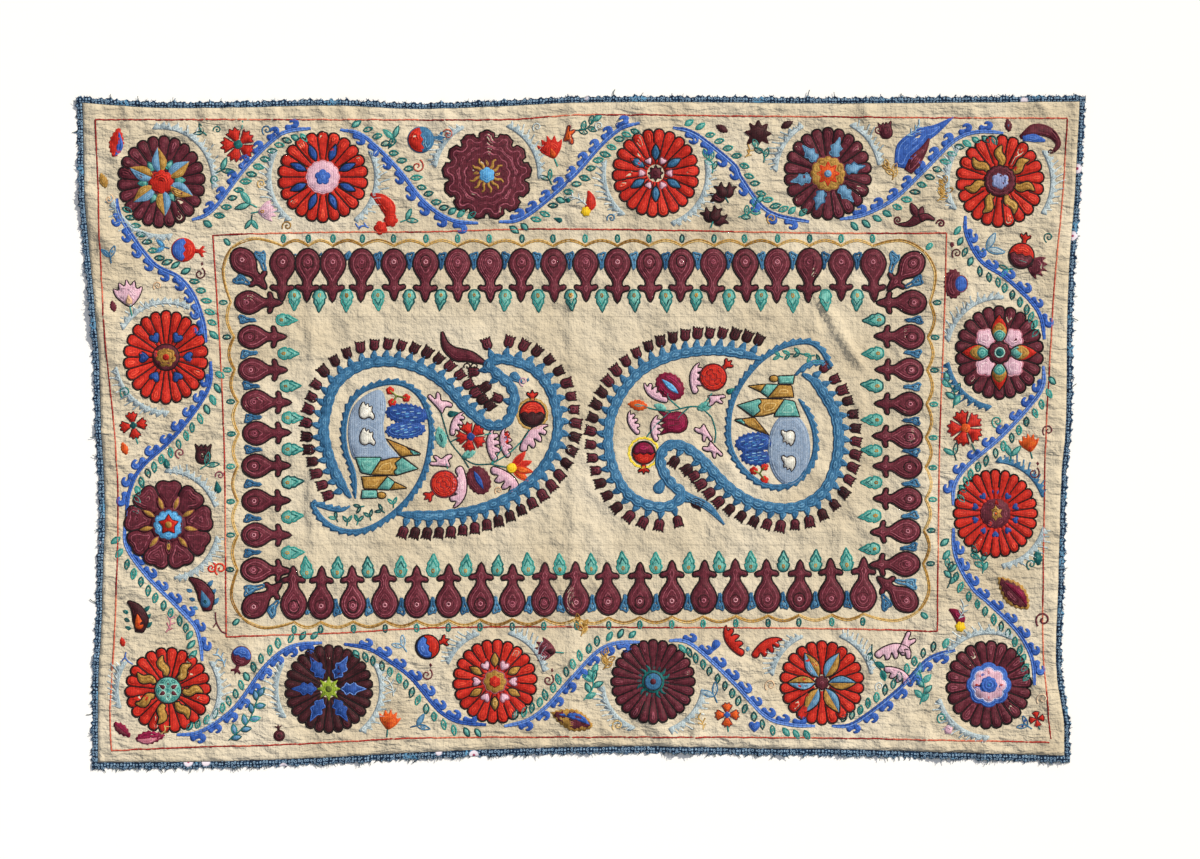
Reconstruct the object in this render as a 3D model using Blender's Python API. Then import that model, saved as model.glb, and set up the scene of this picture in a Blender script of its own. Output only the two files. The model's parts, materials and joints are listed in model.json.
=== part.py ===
# Suzani: a large embroidered cotton cloth lying face up on a flat surface.
# Frame: X runs along the long side, Y towards the far long side, Z up.
# The origin is on the surface, under the middle of the cloth's box.
# Sizes in the tables are millimetres; the model itself is in metres.

import math

import bmesh
import bpy
import numpy as np

MM = 0.001

CLOTH_THICKNESS = 2.0    # cotton ground with its embroidery
EDGING_THICKNESS = 1.2   # folded printed strip
SEWING_GAP = 0.3         # clearance between the cloth and each strip
COLUMN_PITCH = 33.0      # mesh cell along X
ROW_PITCH = 31.0         # mesh cell along Y

# Sides of the cream cloth, each as stations from one corner to the next.
FAR_SIDE = [             # x, y
    (-747, 493), (-642, 486), (-517, 486), (-376, 489), (-242, 484), (-142, 487),
    (-16, 493), (157, 494), (374, 492), (525, 493), (747, 495),
]
NEAR_SIDE = [            # x, y
    (-724, -495), (-573, -494), (-372, -487), (-285, -482), (-123, -475), (125, -471),
    (265, -474), (380, -475), (525, -479), (724, -485),
]
LEFT_SIDE = [            # y, x
    (-495, -724), (-366, -723), (-298, -719), (-198, -716), (-131, -713), (-64, -715),
    (6, -719), (123, -723), (188, -728), (285, -738), (350, -743), (493, -747),
]
RIGHT_SIDE = [           # y, x
    (-485, 724), (-433, 723), (-406, 719), (-382, 715), (-232, 715), (-165, 717),
    (-64, 720), (3, 726), (74, 728), (139, 728), (210, 730), (272, 733), (328, 738),
    (415, 743), (495, 747),
]

# Printed strips sewn along each side, by how far they show beyond the cloth.
EDGING_WIDTH = {
    "edging_far": 9.0,
    "edging_near": 10.0,
    "edging_left": 9.0,
    "edging_right": 9.0,
}

# Pressed creases and soft folds, each a ridge from one point to another.
# The cloth falls away over `left` and `right` on either side of the crest line.
FOLDS = [                # x0, y0, x1, y1, left, right, height
    (-16, 520, -15, -500, 20, 18, 3.0),       # pressed crease down the middle
    (-404, 230, -402, -220, 24, 22, 3.5),     # pressed crease, left quarter
    (351, 300, 351, 110, 22, 22, 3.0),        # pressed crease, right quarter
    (338, 225, 424, 105, 30, 26, 6.0),        # loose wrinkle by the right paisley
    (-770, 270, -660, 40, 34, 30, 5.0),       # loose folds in the left margin
    (-770, 400, -690, 250, 30, 28, 3.5),
    (60, -390, 170, -500, 34, 30, 5.5),       # folds running out of the near side
    (470, -410, 560, -510, 34, 30, 4.5),
    (660, -350, 740, -460, 30, 28, 4.0),      # turned lift at the near right corner
    (-230, 510, -170, 400, 32, 30, 3.5),      # puckers running out of the far side
    (60, 520, 130, 410, 32, 30, 4.0),
    (330, 520, 390, 420, 30, 28, 3.0),
    (388, -60, 450, -190, 34, 32, 4.0),       # soft swell right of the paisleys
]
FOLD_RUN_OUT = 45.0      # length over which a fold dies away at its ends

COLOURS = {              # colour, roughness
    "ground_cloth": ((0.74, 0.64, 0.45, 1.0), 0.9),
    "edging": ((0.02, 0.09, 0.19, 1.0), 0.85),
}


def clear_scene():
    for thing in list(bpy.data.objects):
        bpy.data.objects.remove(thing, do_unlink=True)


def side_curve(stations):
    # A smooth curve through the stations, as a function of their first column.
    along = np.array([row[0] for row in stations], dtype=float)
    across = np.array([row[1] for row in stations], dtype=float)
    slope = np.gradient(across, along)

    def value(position):
        cell = min(max(int(np.searchsorted(along, position)) - 1, 0), len(along) - 2)
        span = along[cell + 1] - along[cell]
        t = (position - along[cell]) / span
        rise = across[cell + 1] - across[cell]
        start = slope[cell] * span
        end = slope[cell + 1] * span
        cubic = start + end - 2.0 * rise
        square = 3.0 * rise - 2.0 * start - end
        return across[cell] + t * (start + t * (square + t * cubic))

    return value


def side_points(stations, fractions, swap):
    # Points along one side; a side listed by y first has its columns swapped back.
    curve = side_curve(stations)
    first = stations[0][0]
    last = stations[-1][0]
    points = []
    for fraction in fractions:
        position = first + (last - first) * fraction
        pair = (position, curve(position))
        points.append((pair[1], pair[0]) if swap else pair)
    return points


def stations_with_creases(first, last, pitch, creases):
    # Even stations, plus the crest and the foot of each upright crease.
    count = round((last - first) / pitch)
    places = set(np.linspace(0.0, 1.0, count + 1))
    for crest, left, right in creases:
        for offset in (-left, -0.5 * left, 0.0, 0.5 * right, right):
            places.add((crest + offset - first) / (last - first))
    kept = [0.0]
    closest = 0.2 * pitch / (last - first)
    for place in sorted(places):
        if place - kept[-1] > closest:
            kept.append(place)
    kept[-1] = 1.0
    return kept


def smooth_step(value):
    value = min(max(value, 0.0), 1.0)
    return value * value * (3.0 - 2.0 * value)


def fold_height(x, y):
    # How far the folds lift the cloth off the surface at one place.
    height = 0.0
    for x0, y0, x1, y1, left, right, crest in FOLDS:
        length = math.hypot(x1 - x0, y1 - y0)
        dx = (x1 - x0) / length
        dy = (y1 - y0) / length
        run = (x - x0) * dx + (y - y0) * dy
        off = (y - y0) * dx - (x - x0) * dy
        reach = left if off > 0.0 else right
        if abs(off) >= reach or run <= 0.0 or run >= length:
            continue
        slope = math.cos(0.5 * math.pi * off / reach) ** 2
        ends = smooth_step(run / FOLD_RUN_OUT) * smooth_step((length - run) / FOLD_RUN_OUT)
        height += crest * slope * ends
    return height


def cloth_grid(columns, rows):
    # Plan positions of the cloth, blended between its four uneven sides.
    near = side_points(NEAR_SIDE, columns, False)
    far = side_points(FAR_SIDE, columns, False)
    left = side_points(LEFT_SIDE, rows, True)
    right = side_points(RIGHT_SIDE, rows, True)
    grid = []
    for j, v in enumerate(rows):
        line = []
        for i, u in enumerate(columns):
            place = []
            for k in (0, 1):
                across = (1 - u) * left[j][k] + u * right[j][k]
                up = (1 - v) * near[i][k] + v * far[i][k]
                low = (1 - u) * near[0][k] + u * near[-1][k]
                high = (1 - u) * far[0][k] + u * far[-1][k]
                place.append(across + up - ((1 - v) * low + v * high))
            line.append(tuple(place))
        grid.append(line)
    return grid


def sheet_mesh(name, grid, heights, thickness):
    # A closed sheet: the grid's upper side, its underside and an upright rim.
    mesh = bmesh.new()
    layers = []
    for lift in (0.0, thickness):
        layer = []
        for line, levels in zip(grid, heights):
            layer.append([mesh.verts.new((x * MM, y * MM, (z + lift) * MM))
                          for (x, y), z in zip(line, levels)])
        layers.append(layer)
    under, upper = layers
    row_count = len(grid)
    column_count = len(grid[0])
    for j in range(row_count - 1):
        for i in range(column_count - 1):
            for layer in layers:
                mesh.faces.new((layer[j][i], layer[j][i + 1], layer[j + 1][i + 1], layer[j + 1][i]))
    rim = [(0, i) for i in range(column_count)]
    rim += [(j, column_count - 1) for j in range(1, row_count)]
    rim += [(row_count - 1, i) for i in range(column_count - 2, -1, -1)]
    rim += [(j, 0) for j in range(row_count - 2, 0, -1)]
    for (j0, i0), (j1, i1) in zip(rim, rim[1:] + rim[:1]):
        mesh.faces.new((under[j0][i0], under[j1][i1], upper[j1][i1], upper[j0][i0]))
    bmesh.ops.recalc_face_normals(mesh, faces=mesh.faces)
    bmesh.ops.triangulate(mesh, faces=mesh.faces)
    data = bpy.data.meshes.new(name)
    mesh.to_mesh(data)
    mesh.free()
    return data


def plain_material(name, key):
    colour, roughness = COLOURS[key]
    material = bpy.data.materials.new(name)
    material.use_nodes = True
    shader = material.node_tree.nodes["Principled BSDF"]
    shader.inputs["Base Color"].default_value = colour
    shader.inputs["Roughness"].default_value = roughness
    shader.inputs["Metallic"].default_value = 0.0
    return material


def add_sheet(name, key, grid, heights, thickness):
    data = sheet_mesh(name, grid, heights, thickness)
    data.materials.append(plain_material(name, key))
    data.shade_smooth()
    data.set_sharp_from_angle(angle=math.radians(40))
    sheet = bpy.data.objects.new(name, data)
    bpy.context.scene.collection.objects.link(sheet)
    return sheet


def add_ground_cloth(grid):
    heights = [[fold_height(x, y) for x, y in line] for line in grid]
    return add_sheet("ground_cloth", "ground_cloth", grid, heights, CLOTH_THICKNESS)


def strip_grid(edge, width, direction):
    # Two lines of points: one just clear of the cloth's edge, one at the strip's outer edge.
    dx, dy = direction
    lines = []
    for reach in (SEWING_GAP, SEWING_GAP + width):
        lines.append([(x + dx * reach, y + dy * reach) for x, y in edge])
    return lines


def add_edging(name, edge, direction):
    width = EDGING_WIDTH[name]
    lines = strip_grid(edge, width, direction)
    levels = [fold_height(x, y) for x, y in edge]
    return add_sheet(name, "edging", lines, [levels, levels], EDGING_THICKNESS)


def add_long_edging(name, edge, direction):
    # The far and near strips run on past the cloth, over the ends of the side strips.
    left = SEWING_GAP + EDGING_WIDTH["edging_left"]
    right = SEWING_GAP + EDGING_WIDTH["edging_right"]
    first = (edge[0][0] - left, edge[0][1])
    last = (edge[-1][0] + right, edge[-1][1])
    return add_edging(name, [first] + edge + [last], direction)


def build():
    clear_scene()
    creases = [(-16, 20, 18), (-403, 24, 22), (351, 22, 22)]
    columns = stations_with_creases(-735.0, 735.0, COLUMN_PITCH, creases)
    rows = stations_with_creases(-490.0, 494.0, ROW_PITCH, [])
    grid = cloth_grid(columns, rows)
    add_ground_cloth(grid)
    add_long_edging("edging_far", grid[-1], (0, 1))
    add_long_edging("edging_near", grid[0], (0, -1))
    add_edging("edging_left", [line[0] for line in grid], (-1, 0))
    add_edging("edging_right", [line[-1] for line in grid], (1, 0))


build()
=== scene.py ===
# Suzani: cream cotton cloth worked in chain stitch, lying face up, seen from straight above.
# All tables are in millimetres, with X to the right, Y away and the middle of the cloth at 0, 0.
import bpy
import json
import math
import random
import numpy as np
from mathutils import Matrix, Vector
from mathutils.geometry import delaunay_2d_cdt

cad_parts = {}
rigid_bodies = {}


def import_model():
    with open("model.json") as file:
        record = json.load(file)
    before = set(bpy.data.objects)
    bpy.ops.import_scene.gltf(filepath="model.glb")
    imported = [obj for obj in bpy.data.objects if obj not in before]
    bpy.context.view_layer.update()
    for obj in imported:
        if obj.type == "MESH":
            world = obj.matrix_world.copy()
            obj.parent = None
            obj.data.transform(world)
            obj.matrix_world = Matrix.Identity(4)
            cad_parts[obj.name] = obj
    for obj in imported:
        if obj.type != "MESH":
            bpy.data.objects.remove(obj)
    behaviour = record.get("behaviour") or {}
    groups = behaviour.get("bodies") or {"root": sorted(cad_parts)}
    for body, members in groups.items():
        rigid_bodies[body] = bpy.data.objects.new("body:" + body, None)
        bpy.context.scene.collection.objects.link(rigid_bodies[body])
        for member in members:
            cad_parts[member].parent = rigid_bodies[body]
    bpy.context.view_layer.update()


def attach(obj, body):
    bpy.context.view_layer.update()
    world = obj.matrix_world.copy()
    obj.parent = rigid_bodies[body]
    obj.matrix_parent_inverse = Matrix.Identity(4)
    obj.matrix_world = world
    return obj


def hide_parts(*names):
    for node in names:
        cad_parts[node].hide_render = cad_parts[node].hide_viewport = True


for thing in list(bpy.data.objects):
    bpy.data.objects.remove(thing)
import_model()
dice = random.Random(7)
scene = bpy.context.scene
mm = 0.001
print("frame loaded")


# small helpers
def toLinear(hexColour):  # sRGB hex to the linear colour that a shader socket wants
    channels = [int(hexColour[k:k + 2], 16) / 255 for k in (1, 3, 5)]
    return tuple(c / 12.92 if c < 0.04045 else ((c + 0.055) / 1.055) ** 2.4 for c in channels) + (1.0,)


def addNode(tree, kind, settings=None, values=None, links=None):  # one node, set up and linked
    node = tree.nodes.new(kind)
    for key, value in (settings or {}).items():
        setattr(node, key, value)
    for key, value in (values or {}).items():
        node.inputs[key].default_value = value
    for key, socket in (links or {}).items():
        tree.links.new(socket, node.inputs[key])
    return node


def doMath(tree, operation, *inputs):  # a maths node on numbers and sockets, as its result
    node = addNode(tree, "ShaderNodeMath", {"operation": operation})
    for number, given in enumerate(inputs):
        if isinstance(given, (int, float)):
            node.inputs[number].default_value = given
        else:
            tree.links.new(given, node.inputs[number])
    return node.outputs[0]


def mapped(tree, socket, source, target=(0.0, 1.0)):  # a value moved from one range to another
    node = addNode(tree, "ShaderNodeMapRange", None, {"From Min": source[0], "From Max": source[1],
                                                      "To Min": target[0], "To Max": target[1]},
                   {"Value": socket})
    return node.outputs[0]


def noise(tree, vector, scale, detail, **more):  # a cloudy texture's value
    values = {"Scale": scale, "Detail": detail, **more}
    return addNode(tree, "ShaderNodeTexNoise", None, values, {"Vector": vector}).outputs["Fac"]


def bumpOf(tree, height, strength, distance, normal=None):  # a bump, laid over another if there is one
    values = {"Strength": strength, "Distance": distance}
    links = {"Height": height} if normal is None else {"Height": height, "Normal": normal}
    return addNode(tree, "ShaderNodeBump", None, values, links).outputs[0]


def setRamp(node, stops):
    ramp = node.color_ramp
    while len(ramp.elements) < len(stops):
        ramp.elements.new(0.5)
    for element, (place, colour) in zip(ramp.elements, stops):
        element.position = place
        element.color = toLinear(colour)


def newMaterial(name):
    material = bpy.data.materials.new(name)
    material.use_nodes = True
    tree = material.node_tree
    return material, tree, tree.nodes["Principled BSDF"]


def addObject(name, mesh):
    thing = bpy.data.objects.new(name, mesh)
    scene.collection.objects.link(thing)
    return thing


# the cloth's outline and its folds
cloth = {
    "length": 1472.0,     # along its long sides, on average
    "width": 984.0,
    "cell": 6.0,          # mesh cell of the visible cloth
    "topLift": 1.7,       # upper face above the fold surface
    "foldRunOut": 45.0,   # length over which a fold dies away
    "sharpCreases": (0.173, -0.169),  # how far from the middle, in metres
    "swell": 0.9,         # soft unevenness of cloth that isn't stretched
    "crumple": 2.2,       # height of the small creases left by handling
    "far": [(-747, 493), (-642, 486), (-517, 486), (-376, 489), (-242, 484), (-142, 487),
            (-16, 493), (157, 494), (374, 492), (525, 493), (747, 495)],
    "near": [(-724, -495), (-573, -494), (-372, -487), (-285, -482), (-123, -475), (125, -471),
             (265, -474), (380, -475), (525, -479), (724, -485)],
    "left": [(-495, -724), (-366, -723), (-298, -719), (-198, -716), (-131, -713), (-64, -715),
             (6, -719), (123, -723), (188, -728), (285, -738), (350, -743), (493, -747)],
    "right": [(-485, 724), (-433, 723), (-406, 719), (-382, 715), (-232, 715), (-165, 717),
              (-64, 720), (3, 726), (74, 728), (139, 728), (210, 730), (272, 733), (328, 738),
              (415, 743), (495, 747)],
    # x0, y0, x1, y1, fall to the left, fall to the right, height, sharpness of the crest
    "folds": [
        (-16, 520, -15, -500, 20, 9, 3.0, 1.6),       # pressed crease down the middle
        (-404, 230, -402, -220, 24, 12, 3.5, 1.3),    # pressed crease, left quarter
        (350, 290, 350, 112, 12, 7, 2.8, 1.5),        # pressed crease, right quarter
        (342, 222, 434, 74, 12, 8, 7.6, 1.3),         # loose wrinkle by the right paisley
        (416, 84, 426, 2, 10, 8, 1.8, 1.2),
        (-770, 270, -660, 40, 34, 22, 5.0, 1.0),      # loose folds in the left margin
        (-770, 400, -690, 250, 26, 20, 3.5, 1.0),
        (-760, 345, -700, 262, 16, 12, 2.2, 1.0),
        (-750, 180, -690, 95, 18, 13, 2.4, 1.0),
        (60, -390, 170, -500, 28, 18, 5.5, 1.0),      # folds running out of the near side
        (150, -405, 200, -495, 16, 12, 2.6, 1.0),
        (270, -430, 316, -492, 16, 12, 2.4, 1.0),
        (470, -410, 560, -510, 30, 20, 4.5, 1.0),
        (660, -350, 740, -460, 24, 18, 4.0, 1.0),     # turned lift at the near right corner
        (-230, 510, -170, 400, 26, 18, 3.5, 1.0),     # puckers running out of the far side
        (60, 520, 130, 410, 26, 18, 4.0, 1.0),
        (120, 510, 170, 430, 15, 11, 2.4, 1.0),
        (330, 520, 390, 420, 24, 18, 3.0, 1.0),
        (270, 510, 292, 440, 14, 10, 2.0, 1.0),
        (388, -60, 450, -190, 34, 26, 4.0, 1.0),      # soft swell right of the paisleys
        (-760, 172, 760, 174, 5, 4, 0.7, 1.6),        # pressed creases across the cloth
        (-760, -168, 760, -171, 5, 4, 0.7, 1.6),
        (-740, -256, -560, -258, 5, 4, 0.8, 1.6),
        (560, -258, 740, -256, 5, 4, 0.8, 1.6),
        (600, 270, 760, 272, 5, 4, 0.8, 1.6),
    ],
    # slanting puckers along each hem: which side, first, last, step, run of one, height
    "hemPuckers": [("far", -700, -330, 36.0, (44.0, -104.0), 5.0),
                   ("far", -320, 700, 58.0, (34.0, -80.0), 2.8),
                   ("near", -690, 700, 52.0, (30.0, 70.0), 3.0),
                   ("left", -440, 440, 56.0, (76.0, -30.0), 3.2),
                   ("right", -440, 440, 62.0, (-70.0, -24.0), 2.6)],
}


def puckerRows():  # small slanting tucks, each like its neighbour but for a little unevenness
    corners = {"far": (0, 515), "near": (0, -500), "left": (-745, 0), "right": (745, 0)}
    rows = []
    for side, place, last, step, (runX, runY), height in cloth["hemPuckers"]:
        while place < last:
            lean = dice.uniform(0.7, 1.25)
            x, y = corners[side]
            x, y = (x, place) if side in ("left", "right") else (place, y)
            rows.append((x, y, x + runX * lean, y + runY * dice.uniform(0.7, 1.25), 13, 8,
                         height * dice.uniform(0.4, 1.1), 1.0))
            place += step * dice.uniform(0.7, 1.3)
    return rows


foldRows = cloth["folds"] + puckerRows()


def smoothStep(value):
    value = np.clip(value, 0.0, 1.0)
    return value * value * (3.0 - 2.0 * value)


def foldHeight(x, y):  # lift of the cloth's underside off the floor
    x = np.asarray(x, dtype=float)
    y = np.asarray(y, dtype=float)
    height = np.zeros_like(x)
    for x0, y0, x1, y1, left, right, crest, sharp in foldRows:
        length = math.hypot(x1 - x0, y1 - y0)
        dx, dy = (x1 - x0) / length, (y1 - y0) / length
        run = (x - x0) * dx + (y - y0) * dy
        off = (y - y0) * dx - (x - x0) * dy
        reach = np.where(off > 0, left, right)
        share = np.clip(np.abs(off) / reach, 0.0, 1.0)
        slope = np.cos(0.5 * math.pi * share ** (1.0 / sharp)) ** 2
        runOut = min(cloth["foldRunOut"], length / 2)
        height += crest * slope * smoothStep(run / runOut) * smoothStep((length - run) / runOut)
    return height


def wavesOf(count, shortest, longest, seed):  # plane waves in all directions, for one kind of unevenness
    deal = random.Random(seed)
    waves = []
    for _ in range(count):
        turn, length = deal.uniform(0, math.pi), deal.uniform(shortest, longest)
        along, across = math.cos(turn) * 2 * math.pi / length, math.sin(turn) * 2 * math.pi / length
        waves.append((along, across, deal.uniform(0, 6.3)))
    return waves


swells, creases = wavesOf(9, 60, 150, 3), wavesOf(8, 90, 240, 11)


def mixed(waves, x, y):  # sum of waves, near -1 to 1
    return sum(np.sin(x * kx + y * ky + phase) for kx, ky, phase in waves) / (0.9 * len(waves) ** 0.5)


def borderShare(x, y):  # 1 in the outer border, 0 in the field
    return smoothStep((np.maximum(np.abs(x) / 1.36, np.abs(y) * 1.12) - 330) / 60)


def swellHeight(x, y):  # slow unevenness and small creases, never below the floor
    border = borderShare(x, y)
    ridge = np.exp(-(4.2 * mixed(creases, x, y)) ** 2)
    swell = cloth["swell"] * (1.0 + 0.55 * mixed(swells, x, y))
    height = swell + cloth["crumple"] * ridge * (0.3 + 0.7 * border)
    return np.maximum(height, 0.0)


def surface(x, y):  # upper face of the cloth
    return foldHeight(x, y) + swellHeight(x, y) + cloth["topLift"]


def sideCurve(stations, positions):  # smooth curve through an uneven side's stations
    along, across = (np.array(column, dtype=float) for column in zip(*stations))
    slope = np.gradient(across, along)
    cell = np.clip(np.searchsorted(along, positions) - 1, 0, len(along) - 2)
    span = along[cell + 1] - along[cell]
    t = (positions - along[cell]) / span
    rise = across[cell + 1] - across[cell]
    start, end = slope[cell] * span, slope[cell + 1] * span
    cubic, square = start + end - 2 * rise, 3 * rise - 2 * start - end
    return across[cell] + t * (start + t * (square + t * cubic))


def sidePoints(name, fractions, swap=False):
    stations = cloth[name]
    positions = stations[0][0] + (stations[-1][0] - stations[0][0]) * fractions
    values = sideCurve(stations, positions)
    return np.stack((values, positions) if swap else (positions, values), axis=-1)


def clothGrid(columns, rows):  # plan of the cloth, blended between its four sides
    u, v = np.linspace(0, 1, columns + 1), np.linspace(0, 1, rows + 1)
    near, far = sidePoints("near", u), sidePoints("far", u)
    left, right = sidePoints("left", v, True), sidePoints("right", v, True)
    u, v = u[None, :, None], v[:, None, None]
    across = (1 - u) * left[:, None] + u * right[:, None]
    up = (1 - v) * near[None] + v * far[None]
    low = (1 - u) * near[0] + u * near[-1]
    high = (1 - u) * far[0] + u * far[-1]
    return across + up - ((1 - v) * low + v * high)


def sheetMesh(name, plan, under, upper):  # closed sheet between two height fields over one plan
    rows, columns = plan.shape[:2]
    count = rows * columns
    points = np.zeros((2, rows, columns, 3))
    points[:, :, :, :2] = plan
    points[0, :, :, 2] = under
    points[1, :, :, 2] = upper
    ids = np.arange(count).reshape(rows, columns)
    quads = np.stack((ids[:-1, :-1], ids[:-1, 1:], ids[1:, 1:], ids[1:, :-1]), axis=-1).reshape(-1, 4)
    rim = np.concatenate((ids[0, :], ids[1:, -1], ids[-1, -2::-1], ids[-2:0:-1, 0]))
    nextRim = np.roll(rim, -1)
    walls = np.stack((rim, nextRim, nextRim + count, rim + count), axis=-1)
    faces = np.concatenate((quads[:, ::-1], quads + count, walls))
    mesh = bpy.data.meshes.new(name)
    mesh.from_pydata((points.reshape(-1, 3) * mm).tolist(), [], faces.tolist())
    mesh.shade_smooth()
    return mesh


# outlines
def rowOf(*points):
    return np.array(points, dtype=float)


def throughPoints(points, closed=False, step=3.0):  # smooth curve through a few points
    points = np.asarray(points, dtype=float)
    count = len(points)
    pick = (lambda k: points[k % count]) if closed else (lambda k: points[min(max(k, 0), count - 1)])
    curve = []
    for k in range(count if closed else count - 1):
        a, b, c, d = pick(k - 1), pick(k), pick(k + 1), pick(k + 2)
        pieces = max(2, int(np.hypot(*(c - b)) / step) + 1)
        for t in np.arange(pieces) / pieces:
            bend = 2 * a - 5 * b + 4 * c - d + t * (3 * (b - c) + d - a)
            curve.append(b + 0.5 * t * (c - a + t * bend))
    if not closed:
        curve.append(points[-1])
    return np.array(curve)


def evenly(path, step):  # points at even spacing along a line, with the direction at each
    path = np.asarray(path, dtype=float)
    lengths = np.hypot(*np.diff(path, axis=0).T)
    along = np.concatenate(([0.0], np.cumsum(lengths)))
    count = max(2, int(round(along[-1] / step)) + 1)
    places = np.linspace(0, along[-1], count)
    points = np.stack([np.interp(places, along, path[:, k]) for k in (0, 1)], axis=-1)
    ways = np.gradient(points, axis=0)
    ways /= np.maximum(np.hypot(*ways.T), 1e-6)[:, None]
    return points, ways


def brush(path, widths):  # outline of a stroke whose width changes evenly along it
    points, ways = evenly(throughPoints(path, step=3.0), 3.0)
    normals = np.stack((-ways[:, 1], ways[:, 0]), axis=-1)
    share = np.linspace(0, 1, len(points))
    half = 0.5 * np.interp(share, np.linspace(0, 1, len(widths)), widths)[:, None]
    sides = np.concatenate((points + normals * half, (points - normals * half)[::-1]))
    keep = np.hypot(*(sides - np.roll(sides, 1, axis=0)).T) > 0.15
    return sides[keep]


def mirrored(half):  # half outline from base to tip, as (half width, height), closed by its mirror image
    half = throughPoints(half, step=2.5)
    other = half[::-1] * (-1, 1)
    return np.concatenate((half, other[(np.abs(other[:, 0]) > 0.05)]))


def ellipse(rx, ry=None, count=0):
    ry = rx if ry is None else ry
    count = count or max(10, int(2.4 * (rx + ry) ** 0.7 + 6))
    turn = np.arange(count) * 2 * math.pi / count
    return np.stack((rx * np.cos(turn), ry * np.sin(turn)), axis=-1)


def polar(radius, count=72):  # closed outline from a radius that depends on the angle
    turn = np.arange(count) * 2 * math.pi / count
    r = radius(turn)
    return np.stack((r * np.sin(turn), r * np.cos(turn)), axis=-1)


def scallops(lobes, r, depth):  # round bumps
    return polar(lambda a: r - depth + depth * np.abs(np.cos(lobes * a / 2)) ** 0.7, lobes * 8)


def star(points, outer, inner):
    turn = np.arange(points * 2) * math.pi / points
    r = np.where(np.arange(points * 2) % 2 == 0, outer, inner)
    corners = np.stack((r * np.sin(turn), r * np.cos(turn)), axis=-1)
    return densified(corners, 3.0)


def densified(corners, step):
    out = []
    for a, b in zip(corners, np.roll(corners, -1, axis=0)):
        pieces = max(1, int(np.hypot(*(b - a)) / step))
        out += [a + (b - a) * k / pieces for k in range(pieces)]
    return np.array(out)


def leaf(length, width):  # pointed at both ends, base at 0, 0
    return mirrored(rowOf((0, 0), (0.34 * width, 0.2 * length), (0.5 * width, 0.48 * length),
                          (0.3 * width, 0.78 * length), (0, length)))


def drop(length, width):  # round at the base, pointed at the tip
    return mirrored(rowOf((0, 0), (0.38 * width, 0.1 * length), (0.5 * width, 0.32 * length),
                          (0.26 * width, 0.7 * length), (0, length)))


def heart(size):
    return mirrored(rowOf((0, 0), (0.33 * size, 0.3 * size), (0.52 * size, 0.66 * size),
                          (0.4 * size, 0.93 * size), (0.16 * size, 0.95 * size), (0, 0.78 * size)))


def toothed(outline, depth, pitch):  # saw teeth along a closed outline
    points, ways = evenly(np.concatenate((outline, outline[:1])), pitch / 3)
    normals = np.stack((ways[:, 1], -ways[:, 0]), axis=-1)
    out = points + normals * (depth * ((np.arange(len(points)) % 3) / 2.0))[:, None]
    return out[:-1]


def moved(points, x=0.0, y=0.0, turn=0.0, size=1.0, flip=False):  # turn in degrees, anticlockwise
    points = np.asarray(points, dtype=float) * size
    if flip:
        points = points * (-1, 1)
    angle = math.radians(turn)
    c, s = math.cos(angle), math.sin(angle)
    return points @ np.array(((c, s), (-s, c))) + (x, y)


# stitching: fills worked in rows that follow their outline
stitch = {
    "pitch": 3.4,         # from one row to the next
    "rowWidth": 3.5,      # a row of chain stitch in thick silk or wool
    "height": 1.0,        # how far a row stands up
    "length": 6.7,        # one chain
    "grid": 1.3,          # spacing of the field that the rows are read from
    "layerLift": 0.22,    # each fill laid over another starts a little higher
    "edgeLift": 1.4,      # an outline lies on the ends of the rows, this many layers up
    "coverOverShade": 1.04,  # width of a row as a share of its pitch, over a shade slab,
    "coverSmall": 1.35,   # in a shape too small for a slab
    "coverUnder": 1.8,    # and in one that others lie over
    "lineLift": 2.5,      # and a single line of stitches this many
    "shadeSlabCell": 12.0,      # mesh cell of the slab of painted shade
    "shadeSlabFrom": 8.0,       # fills narrower than this have no slab of painted shade under them
}
threads = {}


def threadOf(colour):
    return threads.setdefault(colour, {"rows": [], "patches": []})


def fieldOf(outline, gx, gy):  # signed distance from an outline, positive inside
    shape = gx.shape
    x, y = gx.reshape(-1, 1).astype(np.float32), gy.reshape(-1, 1).astype(np.float32)
    px, py = (outline[:, k].astype(np.float32)[None] for k in (0, 1))
    qx, qy = np.roll(px, -1, axis=1), np.roll(py, -1, axis=1)
    ex, ey = qx - px, qy - py
    square = ex * ex + ey * ey + 1e-9
    steep = np.where(np.abs(ey) < 1e-9, 1e-9, ey)
    out = np.empty(len(x), dtype=np.float32)
    block = max(1, 1500000 // px.shape[1])
    for k in range(0, len(x), block):
        dx, dy = x[k:k + block] - px, y[k:k + block] - py
        t = np.clip((dx * ex + dy * ey) / square, 0, 1)
        distance = np.sqrt(np.min((dx - ex * t) ** 2 + (dy - ey * t) ** 2, axis=1))
        crosses = ((dy >= 0) != (y[k:k + block] - qy >= 0)) & (dx < ex * dy / steep)
        out[k:k + block] = np.where(np.sum(crosses, axis=1) % 2 == 1, distance, -distance)
    return out.reshape(shape)


cellSides = {1: ((3, 0),), 2: ((0, 1),), 3: ((3, 1),), 4: ((1, 2),), 5: ((3, 0), (1, 2)), 6: ((0, 2),),
             7: ((3, 2),), 8: ((2, 3),), 9: ((0, 2),), 10: ((0, 1), (2, 3)), 11: ((1, 2),), 12: ((3, 1),),
             13: ((0, 1),), 14: ((3, 0),)}


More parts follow.
